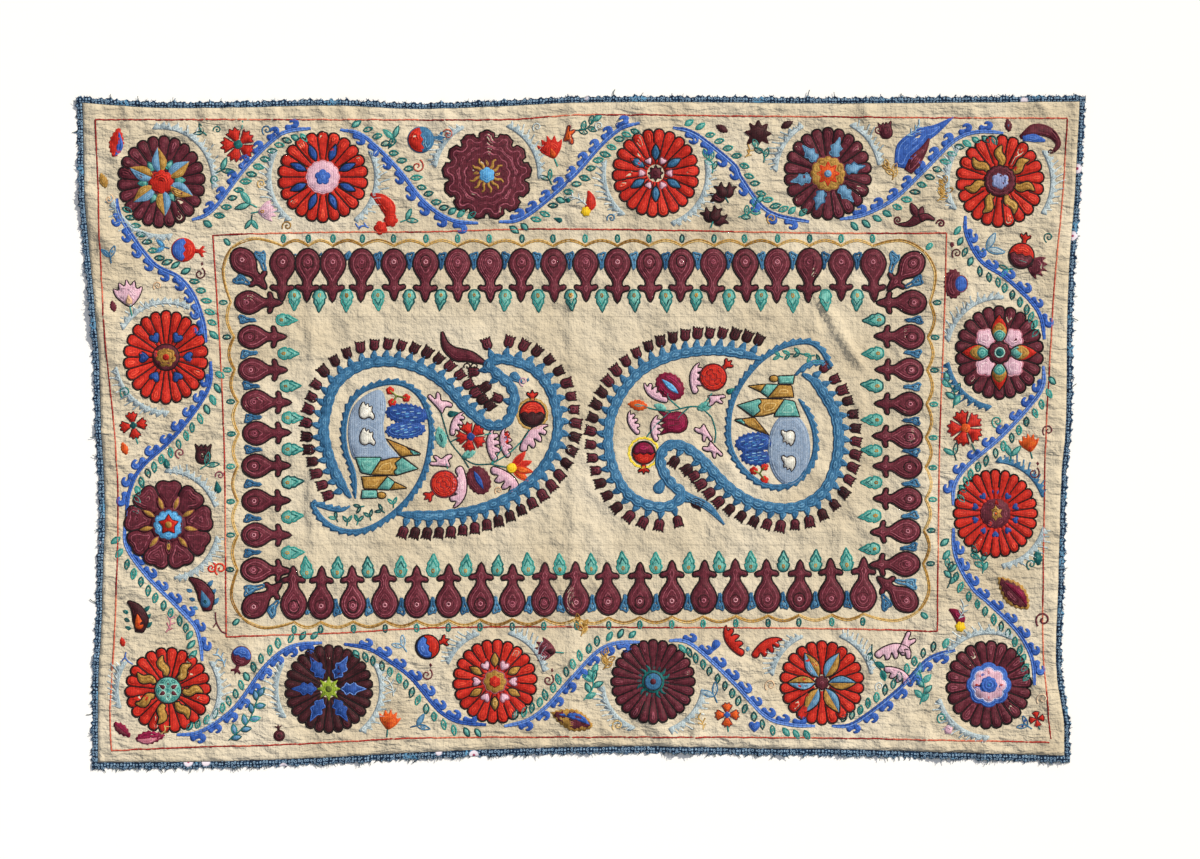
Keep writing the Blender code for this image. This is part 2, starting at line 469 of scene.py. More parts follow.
def contourLines(field, level, x0, y0, step):  # lines of equal height through a field, as (points, closed)
    high = field > level
    code = high[:-1, :-1] * 1 + high[:-1, 1:] * 2 + high[1:, 1:] * 4 + high[1:, :-1] * 8
    width = field.shape[1]
    joins = {}
    for j, i in np.argwhere((code > 0) & (code < 15)).tolist():
        here = j * width + i
        sides = (2 * here, 2 * (here + 1) + 1, 2 * (here + width), 2 * here + 1)
        for a, b in cellSides[int(code[j, i])]:
            joins.setdefault(sides[a], []).append(sides[b])
            joins.setdefault(sides[b], []).append(sides[a])

    def crossing(key):
        j, i = divmod(key // 2, width)
        a = field[j, i]
        if key % 2:
            share = (level - a) / (field[j + 1, i] - a)
            return x0 + i * step, y0 + (j + share) * step
        share = (level - a) / (field[j, i + 1] - a)
        return x0 + (i + share) * step, y0 + j * step

    lines = []
    while joins:
        start = next((k for k, v in joins.items() if len(v) == 1), None) if len(lines) == 0 else None
        start = next(iter(joins)) if start is None else start
        chain = [start]
        key = start
        closed = False
        while True:
            following = joins.pop(key, [])
            onward = [k for k in following if k in joins]
            if not onward:
                closed = len(chain) > 3 and start in following
                break
            key = onward[0]
            chain.append(key)
        lines.append((np.array([crossing(k) for k in chain]), closed))
    return lines


def softened(points, closed):  # takes the grid's small steps out of a row
    for _ in range(2):
        before, after = np.roll(points, 1, axis=0), np.roll(points, -1, axis=0)
        even = 0.5 * points + 0.25 * (before + after)
        if not closed:
            even[0], even[-1] = points[0], points[-1]
        points = even
    return points


def addRow(colour, points, closed, layer=0, width=1.0, tint=None):
    tint = dice.random() if tint is None else tint
    threadOf(colour)["rows"].append((points, closed, layer, width, tint))


def boxesMeet(a, b, margin=1.0):
    return bool(np.all(a.min(0) - margin < b.max(0)) and np.all(b.min(0) - margin < a.max(0)))


def fillPart(part, above, layer, cover):  # rows inside one outline, worked round what is stitched over it
    outline = part["outline"]
    low, high = outline.min(0) - 2.0, outline.max(0) + 2.0
    step = stitch["grid"]
    gx, gy = np.meshgrid(np.arange(low[0], high[0], step), np.arange(low[1], high[1], step))
    field = fieldOf(outline, gx, gy)
    for other in above:
        if boxesMeet(outline, other["outline"]):
            field = np.minimum(field, -fieldOf(other["outline"], gx, gy))
    deepest = float(field.max())
    if deepest < 0.5:  # wholly covered by what lies over it
        return
    depth = deepest - part["inset"]
    count = max(1, int(depth / part["pitch"] + 0.3))
    pitch = max(depth, 1.2) / count  # the rows are spread so that they meet in the middle
    base = dice.uniform(0.25, 0.75)
    for k in range(count):
        level = part["inset"] + pitch * (k + 0.5) if depth > 1.2 else 0.5 * deepest
        for points, closed in contourLines(field, level, low[0], low[1], step):
            if len(points) > 4:
                # alternate rows are lighter and darker: painted sheen and painted shade on the silk, over a
                # random difference in dye
                tint = min(max(base + (0.22 if k % 2 else -0.22) + dice.uniform(-0.2, 0.2), 0.0), 1.0)
                addRow(part["fill"], softened(points, closed), closed, layer,
                       cover * pitch / stitch["rowWidth"], tint)


def lineRuns(points, closed, above):  # what shows of a line that other fills partly cover
    if closed:
        points = np.concatenate((points, points[:1]))
    hidden = np.zeros(len(points), dtype=bool)
    for other in above:
        if boxesMeet(points, other["outline"]):
            hidden |= fieldOf(other["outline"], points[:, 0], points[:, 1]) > 0.6
    if not hidden.any():
        return [(points[:-1] if closed else points, closed)]
    runs = []
    run = []
    for point, covered in zip(points, hidden):
        if covered:
            runs.append(run)
            run = []
        else:
            run.append(point)
    runs.append(run)
    return [(np.array(r), False) for r in runs if len(r) > 1]


def fill(outline, colour, edge=None, patch=None, pitch=None, inset=None, edgeWidth=0.88, rows=True):
    return {"outline": np.asarray(outline, dtype=float), "fill": colour, "edge": edge,
            "patch": patch or colour, "pitch": pitch or stitch["pitch"],
            "inset": (1.1 if edge else 0.0) if inset is None else inset,
            "edgeWidth": edgeWidth, "rows": rows}


def line(path, colour, width=0.85, closed=False):
    return {"path": np.asarray(path, dtype=float), "colour": colour, "width": width, "closed": closed}


def put(parts, x=0.0, y=0.0, turn=0.0, size=1.0, flip=False, under=(), base=0):
    # works one motif into the cloth, in the order of its parts, and under the outlines given
    parts = rotatedParts(parts, x, y, turn, size, flip)
    fills = [part for part in parts if "outline" in part]
    masks = [{"outline": outline} for outline in under]
    for k, part in enumerate(fills):
        part["layer"] = base
        for other in fills[:k]:
            if other["layer"] >= part["layer"] and boxesMeet(part["outline"], other["outline"], -0.5):
                if np.max(fieldOf(other["outline"], *part["outline"].T)) > 1.0:
                    part["layer"] = other["layer"] + 1
    for k, part in enumerate(fills):
        above = fills[k + 1:] + masks
        layer = part["layer"]
        shadeBacked = not under and np.ptp(part["outline"], axis=0).min() > stitch["shadeSlabFrom"]
        if part["rows"]:  # rows with no shade slab under them lie closer, so that they still cover the cloth
            cover = "coverOverShade" if shadeBacked else ("coverUnder" if under else "coverSmall")
            fillPart(part, above, layer, stitch[cover])
        # fills with a slab get a dark sheet of painted shade under their rows
        if shadeBacked:
            threadOf(part["patch"])["patches"].append((part["outline"], layer))
        if part["edge"]:
            for points, closed in lineRuns(part["outline"], True, above):
                addRow(part["edge"], points, closed, layer + stitch["edgeLift"], part["edgeWidth"])
    for part in parts:
        if "path" in part:
            for points, closed in lineRuns(part["path"], part["closed"], masks):
                addRow(part["colour"], points, closed, stitch["lineLift"], part["width"])


def rotatedParts(parts, x=0.0, y=0.0, turn=0.0, size=1.0, flip=False):
    out = []
    for part in parts:
        key = "outline" if "outline" in part else "path"
        out.append({**part, key: moved(part[key], x, y, turn, size, flip)})
    return out


def around(parts, count, radius, turn=0.0):  # copies set round a centre, pointing outwards
    out = []
    for k in range(count):
        angle = turn + k * 360.0 / count
        place = moved([(0.0, radius)], turn=angle)[0]
        out += rotatedParts(parts, place[0], place[1], angle)
    return out


# rosettes
def rosette(rx, ry, petals, colour, inner, turn=0.0, bulge=0.13):
    # a wheel of round-ended petals, each worked in rows of its own, with black lines between
    parts = []
    half = math.pi / petals
    scale = np.array((rx, ry))

    def rim(angle):
        # 0 at a petal's middle, 1 at its side
        share = np.abs(((angle - math.radians(turn)) / half + 1) % 2 - 1)
        return 1.0 - bulge * (1.0 - np.sqrt(np.maximum(1.0 - share ** 2.2, 0.0)))

    for k in range(petals):
        middle = math.radians(turn) + 2 * k * half
        angles = np.linspace(middle - half, middle + half, 11)
        outer = np.stack((np.sin(angles), np.cos(angles)), axis=-1) * rim(angles)[:, None]
        inside = np.stack((np.sin(angles[::-5]), np.cos(angles[::-5])), axis=-1) * inner
        parts.append(fill(densified(np.concatenate((outer, inside)) * scale, 6.0), colour, inset=0.9,
                          pitch=3.1))
        ray = np.array((math.sin(middle + half), math.cos(middle + half))) * scale
        parts.append(("ray", ray * (inner + 0.02), ray * (1.0 - bulge)))
    angles = np.arange(petals * 8) * 2 * math.pi / (petals * 8) + math.radians(turn) + half
    rimPath = np.stack((np.sin(angles), np.cos(angles)), axis=-1) * rim(angles)[:, None] * scale
    return parts, rimPath


def putRosette(x, y, wheel, centre):
    parts, rimPath = wheel
    petals = [p for p in parts if isinstance(p, dict)]
    rays = [p for p in parts if not isinstance(p, dict)]
    centreFills = [{**p, "outline": moved(p["outline"], x, y)} for p in centre if "outline" in p]
    put(petals + centre, x, y)
    for _, start, end in rays:
        path = np.linspace(start, end, 8) + (x, y)
        for points, closed in lineRuns(path, False, centreFills):
            addRow("black", points, closed, stitch["edgeLift"], 0.9)
    for points, closed in lineRuns(rimPath + (x, y), True, centreFills):
        addRow("black", points, closed, stitch["edgeLift"], 1.0)


def halfLeaf(length, width, side):  # one half of a leaf, split along its vein
    half = throughPoints([(0, 0), (0.4 * width, 0.22 * length), (0.5 * width, 0.5 * length),
                          (0.24 * width, 0.8 * length), (0, length)], step=2.5)
    vein = np.stack((np.zeros(6), np.linspace(length, 0, 8)[1:-1]), axis=-1)
    return np.concatenate((half, vein)) * (side, 1)


def disc(r, colour, edge=None, **more):
    return fill(ellipse(r), colour, edge, **more)


def spiral(size, turns=1.4, tail=0.8):  # a curl on a short tail, starting at 0, 0 and running up
    angle = np.linspace(0, turns * 2 * math.pi, int(10 + turns * 14))
    r = size * (1.0 - 0.82 * angle / angle[-1])
    wound = np.stack((size - r * np.cos(angle), r * np.sin(angle)), axis=-1) + (0, tail * size)
    return np.concatenate((np.array([(0.25 * size, -0.1 * size), (0.04 * size, 0.3 * size)]), wound))


def toothedDisc(r, knobs, notch):  # a gear-like rim of round knobs with narrow notches between
    def radius(angle):
        share = np.abs(((angle * knobs / math.pi) + 1) % 2 - 1)
        return r - notch * smoothStep((share - 0.72) / 0.14) + 1.6 * np.cos(share * 5.4)
    return polar(radius, knobs * 14)


def loopOf(r, wave=0.0, lobes=0):
    return polar(lambda a: r + wave * np.cos(lobes * a), 60)


def barbedLeaf(length):  # two pairs of barbs below a long point
    half = np.array([(0, 0), (3.5, 5), (9, 8), (5, 13), (10, 20), (4.5, 23), (0, 37)]) * length / 37.0
    return densified(np.concatenate((half, half[-2:0:-1] * (-1, 1))), 3)


def curledLeaf(length):  # an S-shaped leaf, fullest in its middle
    shape = np.array([(0, 0), (3.5, 8), (-2.5, 18), (3, 29)]) * length / 29.0
    return brush(shape, (7, 13, 13, 2))


def centreOf(kind):
    c = []
    if kind == "star half and half":
        c += around([fill(drop(15, 11), "aqua", edge="teal")], 6, 21, turn=34)
        for side, colour in ((-1, "paleSteel"), (1, "gold")):
            c += around([fill(halfLeaf(40, 22, side), colour, pitch=3.0)], 6, 12, turn=6)
        c += [fill(scallops(8, 18, 3), "red"), disc(2.2, "maroon")]
    elif kind == "eight petals":
        c += around([fill(leaf(28, 11.5), "cobalt", edge="black", edgeWidth=0.8)], 8, 26, turn=22.5)
        c += [fill(scallops(12, 25, 2), "pink", edge="rose", edgeWidth=0.7),
              fill(scallops(5, 12, 3), "vineBlue")]
    elif kind == "sun":
        c += around([fill(brush([(0, 0), (1.5, 7), (-1.5, 13), (1.5, 18)], (5, 4, 2.2)), "gold", pitch=3)],
                    13, 9)
        c += [fill(scallops(6, 12, 2.5), "sky")]
    elif kind == "hearts and leaves":
        c += around([fill(leaf(25, 12), "steelBlue", edge="black", edgeWidth=0.8)], 6, 19)
        c += around([fill(heart(11), "pink", edge="burgundy", edgeWidth=0.7)], 6, 15, turn=30)
        c += [fill(star(8, 12, 7), "burgundy", edge="black", edgeWidth=0.7)]
    elif kind == "arrow leaves":
        c += around([fill(barbedLeaf(35), "paleSteel", edge="steelBlue", pitch=2.8, edgeWidth=0.7)], 6, 23,
                    turn=-18)
        c += [fill(scallops(12, 27, 3), "gold", edge="burgundy", edgeWidth=0.6),
              fill(star(8, 18, 10), "orange", edge="red", edgeWidth=0.7), disc(5.5, "paleSteel")]
    elif kind == "gold leaves":
        c += around([fill(curledLeaf(31), "gold", edge="black", edgeWidth=0.8)], 7, 23)
        c += [fill(scallops(14, 24, 2.5), "burgundy", edge="black", edgeWidth=0.7),
              fill(scallops(6, 13, 3), "lavender"), disc(2.6, "maroon")]
    elif kind == "blue hearts":
        c += around([fill(heart(16), "cobalt", edge="black", edgeWidth=0.6)], 6, 25, turn=30)
        c += [disc(20, "burgundy", "black", edgeWidth=0.7), fill(scallops(7, 15, 3), "gold"),
              disc(5, "red")]
    elif kind == "star in ring":
        c += around([fill(leaf(22, 8), "gold", edge="burgundy", edgeWidth=0.6)], 9, 23, turn=20)
        c += [fill(scallops(12, 22, 3), "sky", edge="steelBlue", edgeWidth=0.7),
              fill(star(5, 16, 9), "red", edge="maroon", edgeWidth=0.6), disc(5, "gold")]
    elif kind == "leaves round teal":
        c += around([fill(curledLeaf(31), "gold", edge="black", edgeWidth=0.8)], 7, 22, turn=12)
        c += [disc(20, "teal", "black", edgeWidth=0.8, patch="aqua")]
        c += around([fill(drop(12, 8), "burgundy", edge="aqua", edgeWidth=0.6)], 6, 5)
    elif kind == "lime star":
        c += around([fill(barbedLeaf(38), "cobalt", edge="vineBlue", pitch=2.8, edgeWidth=0.7)], 6, 18,
                    turn=30)
        c += [fill(star(8, 19, 10), "lime"), disc(5, "olive")]
    elif kind == "crowns":
        c += around([fill(leaf(22, 12), "gold", edge="black", edgeWidth=0.8)], 6, 22)
        c += around([fill(heart(14), "pink", edge="burgundy", edgeWidth=0.7)], 6, 20, turn=30)
        c += [fill(scallops(8, 18, 3), "gold", edge="burgundy", edgeWidth=0.7),
              fill(scallops(6, 9, 2), "red")]
    elif kind == "flame ring":
        c += around([fill(brush([(0, 0), (2, 6), (-1, 12)], (5, 4.2, 1.5)), "teal", pitch=3)], 16, 15)
        c += [disc(17, "teal"), disc(13, "steelBlue", "black", edgeWidth=0.6), disc(4.5, "burgundy")]
    elif kind == "large leaves":
        for side, colour in ((-1, "paleSteel"), (1, "gold")):
            c += around([fill(halfLeaf(43, 21, side), colour, pitch=3.0)], 6, 9, turn=30)
        c += around([line(leaf(43, 21), "black", 0.8, True)], 6, 9, turn=30)
        c += [fill(scallops(6, 11, 3), "burgundy")]
    elif kind == "flower in ring":
        c += [fill(scallops(8, 34, 4), "vineBlue"),
              fill(scallops(8, 26, 4.5), "pink", edge="lavender", edgeWidth=0.7)]
        c += around([fill(ellipse(2.0, 4.2), "red", pitch=2.6)], 8, 18.5)
        c += [fill(scallops(8, 13, 1.5), "vineBlue"), disc(3, "sky")]
    elif kind == "four leaves":
        c += around([fill(scallops(5, 15, 3.5), "pink", edge="rose", edgeWidth=0.7)], 4, 30, turn=45)
        c += around([fill(leaf(44, 24), "red", edge="black", edgeWidth=0.8)], 4, 13)
        c += around([fill(mirrored([(0, 0), (6, 7), (10.5, 17), (6, 27), (0, 31)]), "gold")], 4, 14)
        c += around([fill(mirrored([(0, 0), (6, 7), (9, 13), (5, 18), (0, 20)]), "teal", patch="aqua")], 4,
                    14)
        c += [fill(scallops(8, 17, 3), "burgundy", edge="black", edgeWidth=0.8), disc(7, "teal", "aqua")]
    elif kind == "small hearts":
        c += around([fill(heart(10), "cobalt")], 10, 26)
        c += [fill(scallops(14, 23, 1.5), "burgundy"), fill(star(6, 12, 7), "gold"), disc(3, "orange")]
    return c


rosettes = [  # x, y, half width, half depth, petals, thread, centre, turn
    (-629, 375, 65.5, 69, 22, "burgundy", "star half and half", 4),
    (-387, 382, 67.5, 68, 22, "red", "eight petals", 0),
    (-141, 385, 66, 68, 13, "burgundy", "sun", 0),
    (112, 388, 65, 66, 22, "red", "hearts and leaves", 5),
    (370, 387, 65.5, 69, 22, "burgundy", "arrow leaves", 0),
    (628, 376, 66, 69, 22, "red", "gold leaves", 3),
    (-622, 112, 63, 70, 22, "red", "blue hearts", 0),
    (-618, -139, 62, 68, 9, "burgundy", "star in ring", 0),
    (-619, -387, 64, 64, 22, "red", "leaves round teal", 6),
    (-378, -385, 66, 66, 26, "maroon", "lime star", 0),
    (-129, -374, 63, 63, 22, "red", "crowns", 4),
    (108, -374, 63, 63, 24, "burgundy", "flame ring", 0),
    (361, -376, 63, 63, 22, "red", "large leaves", 0),
    (611, -379, 64, 66, 22, "burgundy", "flower in ring", 4),
    (627, 119, 66, 70, 22, "burgundy", "four leaves", 0),
    (621, -122, 63, 66, 24, "red", "small hearts", 0),
]


def workRosettes():
    for x, y, rx, ry, petals, colour, kind, turn in rosettes:
        if kind == "sun":
            put([fill(toothedDisc(66, petals, 9), colour, edge="black")] + centreOf(kind), x, y)
        elif kind == "star in ring":  # broad petals with the ground showing between
            petal = mirrored([(0, 0), (8, 6), (17.5, 24), (19, 36), (14, 42), (7, 43.5), (0, 41.5)])
            flower = around([fill(petal, colour, edge="black")], petals, 22.5)
            put(flower + [disc(26, colour)] + centreOf(kind), x, y)
        else:
            putRosette(x, y, rosette(rx, ry, petals, colour, 0.2, turn, bulge=0.12), centreOf(kind))


# the outer border's vines
vine = {"stemWidth": 6.2, "hookStep": 28.0, "leafStep": 16.0}
vines = [  # points along the stem, side of the hooks seen along it (1 left, -1 right)
    ([(-696, 350), (-688, 318), (-643, 255), (-603, 232), (-580, 204), (-566, 165), (-562, 134)], -1),
    ([(-583, 318), (-552, 333), (-501, 399), (-450, 446), (-405, 455)], 1),
    ([(-361, 453), (-325, 443), (-276, 396), (-235, 345), (-195, 318), (-154, 313)], -1),
    ([(-123, 315), (-85, 322), (-19, 376), (30, 430), (60, 455), (88, 463)], 1),
    ([(138, 456), (172, 446), (228, 402), (241, 379), (280, 331), (342, 315)], -1),
    ([(388, 319), (425, 326), (470, 350), (516, 394), (560, 437), (595, 450), (633, 448)], 1),
    ([(576, 324), (578, 295), (600, 256), (637, 231), (675, 195), (690, 170), (694, 139)], 1),
    ([(-555, 106), (-560, 62), (-607, -4), (-658, -52), (-677, -90), (-681, -126)], -1),
    ([(-684, -141), (-680, -175), (-645, -222), (-586, -282), (-572, -310), (-568, -343)], 1),
    ([(-606, -454), (-570, -449), (-520, -414), (-474, -352), (-435, -322), (-388, -316)], -1),
    ([(-355, -318), (-318, -325), (-285, -345), (-253, -370), (-215, -415), (-185, -434), (-142, -439)], 1),
    ([(-115, -441), (-80, -432), (-50, -410), (-22, -378), (20, -333), (50, -317), (88, -315)], -1),
    ([(132, -313), (165, -318), (226, -373), (275, -425), (310, -438), (351, -441)], 1),
    ([(376, -441), (410, -436), (474, -388), (520, -341), (561, -327)], -1),
    ([(558, -144), (561, -185), (585, -232), (613, -258), (655, -300), (676, -340), (679, -379)], 1),
    ([(693, 99), (688, 60), (635, -2), (580, -50), (560, -80), (558, -110)], -1),
]


def vineHook(size):  # a curled bud on the stem, as seen with the stem running up
    shape = [(-3, -7), (1, -3), (2, 3), (0, 9), (3, 14), (8, 16), (13, 14), (16, 8), (15, 2), (11, 1),
             (11, 6), (8, 6), (8, 0), (10, -5), (6, -9)]
    return [fill(throughPoints(np.array(shape) * size, True, 2.5), "vineBlue", pitch=3.0)]


def workVines():
    for route, side in vines:
        route = throughPoints(route, step=4)
        stemPoints, ways = evenly(route, 4.0)
        normals = np.stack((-ways[:, 1], ways[:, 0]), axis=-1)
        taper = np.interp(np.linspace(0, 1, len(ways)), (0, 0.07, 0.93, 1), (0.35, 1, 1, 0.35))
        for offset in (-0.23, 0.23):
            besideStem = stemPoints + normals * (offset * vine["stemWidth"]) * taper[:, None]
            addRow("vineBlue", besideStem, False, 1, 1.12)
        points, ways = evenly(route, vine["hookStep"])
        for k in range(1, len(points) - 1):
            turn = math.degrees(math.atan2(-ways[k][0], ways[k][1]))
            out = np.array((-ways[k][1], ways[k][0])) * side
            put(vineHook(dice.uniform(0.82, 0.96)), *(points[k] + out * 1.5), turn, 1.0, side > 0)
        points, ways = evenly(route, vine["leafStep"])
        for k in range(1, len(points) - 1):
            out = np.array((-ways[k][1], ways[k][0])) * -side
            turn = math.degrees(math.atan2(-ways[k][0], ways[k][1])) - side * dice.uniform(40, 62)
            put([fill(leaf(dice.uniform(13.5, 17), dice.uniform(6.5, 8)), "aqua", edge="teal", pitch=2.8,
                      edgeWidth=0.9)],
                *(points[k] + out * 7), turn)


# pale feathered arcs round the rosettes
feather = {"gap": 11.5, "band": 3.8, "tooth": 9.0, "step": 9.0, "barb": 15.0}
arcs = [  # rosette number, first and last bearing in degrees (0 right, 90 up), thread
    (0, 100, -12, "paleBlue"), (0, 195, 285, "paleBlue"), (1, 150, 235, "paleBlue"),
    (1, 30, -55, "paleBlue"), (2, 172, 112, "paleBlue"), (2, 68, -5, "paleBlue"),
    (3, 165, 235, "paleBlue"), (3, 15, -75, "paleBlue"), (4, 178, 115, "paleBlue"),
    (4, 65, 5, "paleBlue"), (5, 140, 215, "paleBlue"), (5, 35, -40, "paleBlue"), (6, 150, 60, "paleBlue"),
    (6, 190, 275, "paleBlue"), (7, 95, 15, "paleBlue"), (7, -12, -85, "paleBlue"),
    (8, 145, 205, "paleBlue"), (8, 35, -45, "paleBlue"), (9, 150, 215, "paleBlue"),
    (9, 30, -55, "paleBlue"), (10, 160, 105, "paleBlue"), (10, 75, 10, "paleBlue"),
    (11, 185, 250, "paleBlue"), (11, -8, -75, "paleBlue"), (12, 172, 110, "paleBlue"),
    (12, 70, 8, "paleBlue"), (13, 150, 60, "paleBlue"), (13, 195, 275, "paleBlue"),
    (14, 85, 170, "paleBlue"), (14, 190, 265, "steelBlue"), (15, 90, 15, "steelBlue"),
    (15, -15, -85, "paleBlue"),
]


def workArcs():
    for number, first, last, colour in arcs:
        x, y, rx, ry = rosettes[number][:4]
        step = math.copysign(1, last - first)
        bearings = np.radians(np.arange(first, last, step * 4.0))
        reach = feather["gap"]
        path = np.stack((x + (rx + reach) * np.cos(bearings), y + (ry + reach) * np.sin(bearings)), axis=-1)
        if step > 0:
            path = path[::-1]
        band = raggedBand(path, feather["band"], feather["tooth"], feather["step"], True)
        put([fill(band, colour, pitch=2.9)])
        for share in np.arange(0.10, 0.95, 0.09):  # a few longer barbs
            bearing = math.radians(first + (last - first) * share)
            grow = math.sin(share * math.pi) ** 0.5 * dice.uniform(0.8, 1.3)
            out = np.array((math.cos(bearing), math.sin(bearing)))
            along = np.array((-out[1], out[0])) * -step
            base = np.array((x, y)) + out * (rx + reach + 2)
            curve = [base, base + (out * 0.4 + along * 0.4) * feather["barb"] * grow,
                     base + (out * 1.0 + along * 0.7) * feather["barb"] * grow]
            addRow(colour, throughPoints(curve, step=3), False, 0, 0.9)


# the inner border
bottleHalf = [(0, 0), (8, 2), (15, 9), (19.3, 20), (18, 30), (13.5, 39), (8.5, 46), (6.5, 52), (8, 56),
              (14, 54.5), (17.5, 56), (17.5, 60), (14, 62.5), (8, 64), (6, 68), (4, 75), (0, 80.5)]
budHalf = [(0, 0), (5, 1), (7.8, 6), (9.5, 11), (6.8, 13.5), (8, 18), (4.5, 23), (2, 29), (0, 33)]
inner = {
    "bulb": 20.0,         # from a bottle's round end to the middle of its bulb
    "budIn": 42.0,        # from the line of bulbs in to the foot of a bud
    "cuspOut": 23.0,      # from a bulb out to the cusp of the gold scallop
    "leafOut": 12.0,      # from a cusp out to the middle of its leaf
    "crestOut": 31.0,     # from the line of bulbs out to the crest of a scallop
    "cornerOut": 34.0,    # and at a corner
    "doubling": 2.6,      # between the two gold lines
}


def bottle():
    outline = mirrored([(x, y - inner["bulb"]) for x, y in bottleHalf])
    return [fill(outline, "wine", edge="black", edgeWidth=0.95, pitch=3.1),
            line(loopOf(dice.uniform(8, 10), 0.8, 2) + (0, -1), "maroon", 0.7, True),
            line(loopOf(3.0), "rose", 0.6, True)]


def borderBud():
    return [fill(mirrored(budHalf), "aqua", edge="teal", pitch=2.6, edgeWidth=0.95),
            fill(moved(ellipse(3.4, 5.0), 0, 8), "gold", pitch=2.6),
            line([(-5, 14), (-2, 19), (0, 24)], "teal", 0.7),
            line([(5, 14), (2, 19), (0, 24)], "teal", 0.7)]


def bracket():  # a blue flag in the gap between two bulbs, its head outwards
    shape = [(-7, -12), (-2, -9), (6, -14), (7.5, -6), (3.5, 2), (3.5, 12), (1.5, 18), (-2, 17),
             (-2.5, 6), (-6, -2)]
    return [fill(throughPoints(shape, True, 3), "steelBlue", pitch=2.2)]


bottles = []
bottles += [(x, 255, 180, 1.0) for x in (-447, -409.5, -372)]
bottles += [(-328.5 + 47.9 * k, 255, 180, 1.0) for k in range(17)]
bottles += [(498, 253, 135, 0.93)]
bottles += [(x, y, 90, 0.93) for x, y in ((499, 194), (496, 142.5), (495, 93), (494, 42), (493, -7.5),
                                          (492.5, -52.5), (492.5, -100.5), (490, -148.5), (489, -198))]
bottles += [(487.5, -253, 51, 0.93)]
bottles += [(423 - 47.8 * k, -249 - 0.7 * k, 0, 1.0) for k in range(18)] + [(-430.5, -261, 0, 1.0)]
bottles += [(-490.5, -262, -49, 0.93)]
bottles += [(x, y, -90, 0.93) for x, y in ((-491, -207), (-490, -154.5), (-490, -103.5), (-490, -51),
                                           (-489, -2), (-490, 45), (-495, 93), (-496, 142.5),
                                           (-501, 194))]
bottles += [(-508, 258, 221, 0.95)]  # the round the border is listed in: clockwise from the far left


def workInnerBorder():
    ring = [bottles[-1]] + bottles[:-1]
    scallop = []
    ring = [(x, y, turn + dice.uniform(-2, 2), size * dice.uniform(0.97, 1.03))
            for x, y, turn, size in ring]
    for k, (x, y, turn, size) in enumerate(ring):
        put(bottle(), x, y, turn, size)
        nextX, nextY, nextTurn, nextSize = ring[(k + 1) % len(ring)]
        swing = (nextTurn - turn + 180) % 360 - 180
        between = turn + 0.5 * swing
        midX, midY = 0.5 * (x + nextX), 0.5 * (y + nextY)
        inward = moved([(0, 1)], turn=between)[0]
        corner = abs(swing) > 20
        head = np.array((midX, midY)) - inward * (2 if corner else 4)
        sides = [moved(bottle()[0]["outline"], bx, by, bTurn, bSize * 1.06)
                 for bx, by, bTurn, bSize in ((x, y, turn, size), (nextX, nextY, nextTurn, nextSize))]
        put(bracket(), head[0], head[1], between + dice.uniform(-8, 8), 1.15 if corner else 0.92,
            dice.random() < 0.5, sides, 3.5)
        if not corner:
            foot = np.array((midX, midY)) + inward * inner["budIn"]
            put(borderBud(), foot[0], foot[1], between + dice.uniform(-6, 6), dice.uniform(0.94, 1.06))
        out = moved([(0, -1)], turn=turn)[0]
        cusp = np.array((x, y)) + out * inner["cuspOut"]
        leafAt = cusp + out * inner["leafOut"]
        put([fill(ellipse(3.0, 6.0), "aqua", edge="teal", pitch=2.6)], *leafAt, turn)
        crest = np.array((midX, midY)) - inward * inner["cornerOut" if corner else "crestOut"]
        scallop.append((cusp, crest))
    for k, (cusp, crest) in enumerate(scallop):
        nextCusp = scallop[(k + 1) % len(scallop)][0]
        for lift in (0.0, inner["doubling"]):
            out = crest - 0.5 * (cusp + nextCusp)
            out = out / max(np.hypot(*out), 1e-6) * lift
            shoulder = [0.78 * a + 0.22 * b + (crest - 0.5 * (cusp + nextCusp)) * 0.62
                        for a, b in ((cusp, nextCusp), (nextCusp, cusp))]
            path = [cusp + out * 0.7, shoulder[0] + out, crest + out, shoulder[1] + out,
                    nextCusp + out * 0.7]
            addRow("gold", throughPoints(path, step=3), False, 0, 0.8)


# the red ruled lines
rules = [
    [(-728, 468), (-520, 468), (-360, 468), (-121, 468), (-9, 475), (88, 475), (179, 474), (500, 471),
     (729, 470)],
    [(729, 470), (722, 354), (712, 250), (705, 150), (697, 0), (694, -130), (692, -306), (697, -387),
     (704, -460)],
    [(702, -465), (540, -462), (300, -458), (-196, -458), (-352, -464), (-478, -470), (-600, -473),
     (-704, -478)],
    [(-704, -478), (-706, -415), (-699, -302), (-694, -130), (-697, -30), (-710, 110), (-718, 213),
     (-724, 367), (-728, 468)],
    [(-552, 295), (-400, 299), (-230, 300), (-80, 304), (70, 303), (250, 300), (373, 298), (548, 298)],
    [(548, 298), (544, 154), (538, 0), (535, -192), (534, -299)],
    [(534, -299), (372, -295), (104, -293), (-196, -293), (-353, -301), (-438, -304), (-532, -307)],
    [(-532, -307), (-534, -72), (-538, 60), (-543, 154), (-552, 295)],
]


def workRules():
    for points in rules:
        path = evenly(throughPoints(points, step=10), 6.0)[0]
        path = path + np.stack((np.zeros(len(path)), [dice.uniform(-0.5, 0.5) for _ in path]), axis=-1)
        start = 0
        while start < len(path) - 1:
            length = dice.randint(4, 16)  # the thread changes shade every few stitches
            addRow("ruleRed", path[start:start + length + 1], False, 0, 0.9)
            start += length


# the small flowers, leaves and fruit
def curl(colour, size=9, width=0.7):
    return [line(spiral(size, 1.25), colour, width)]


def curlAndDrop(colour):
    return curl(colour) + [fill(moved(drop(11, 6), 0, -3, 180), colour, pitch=3)]


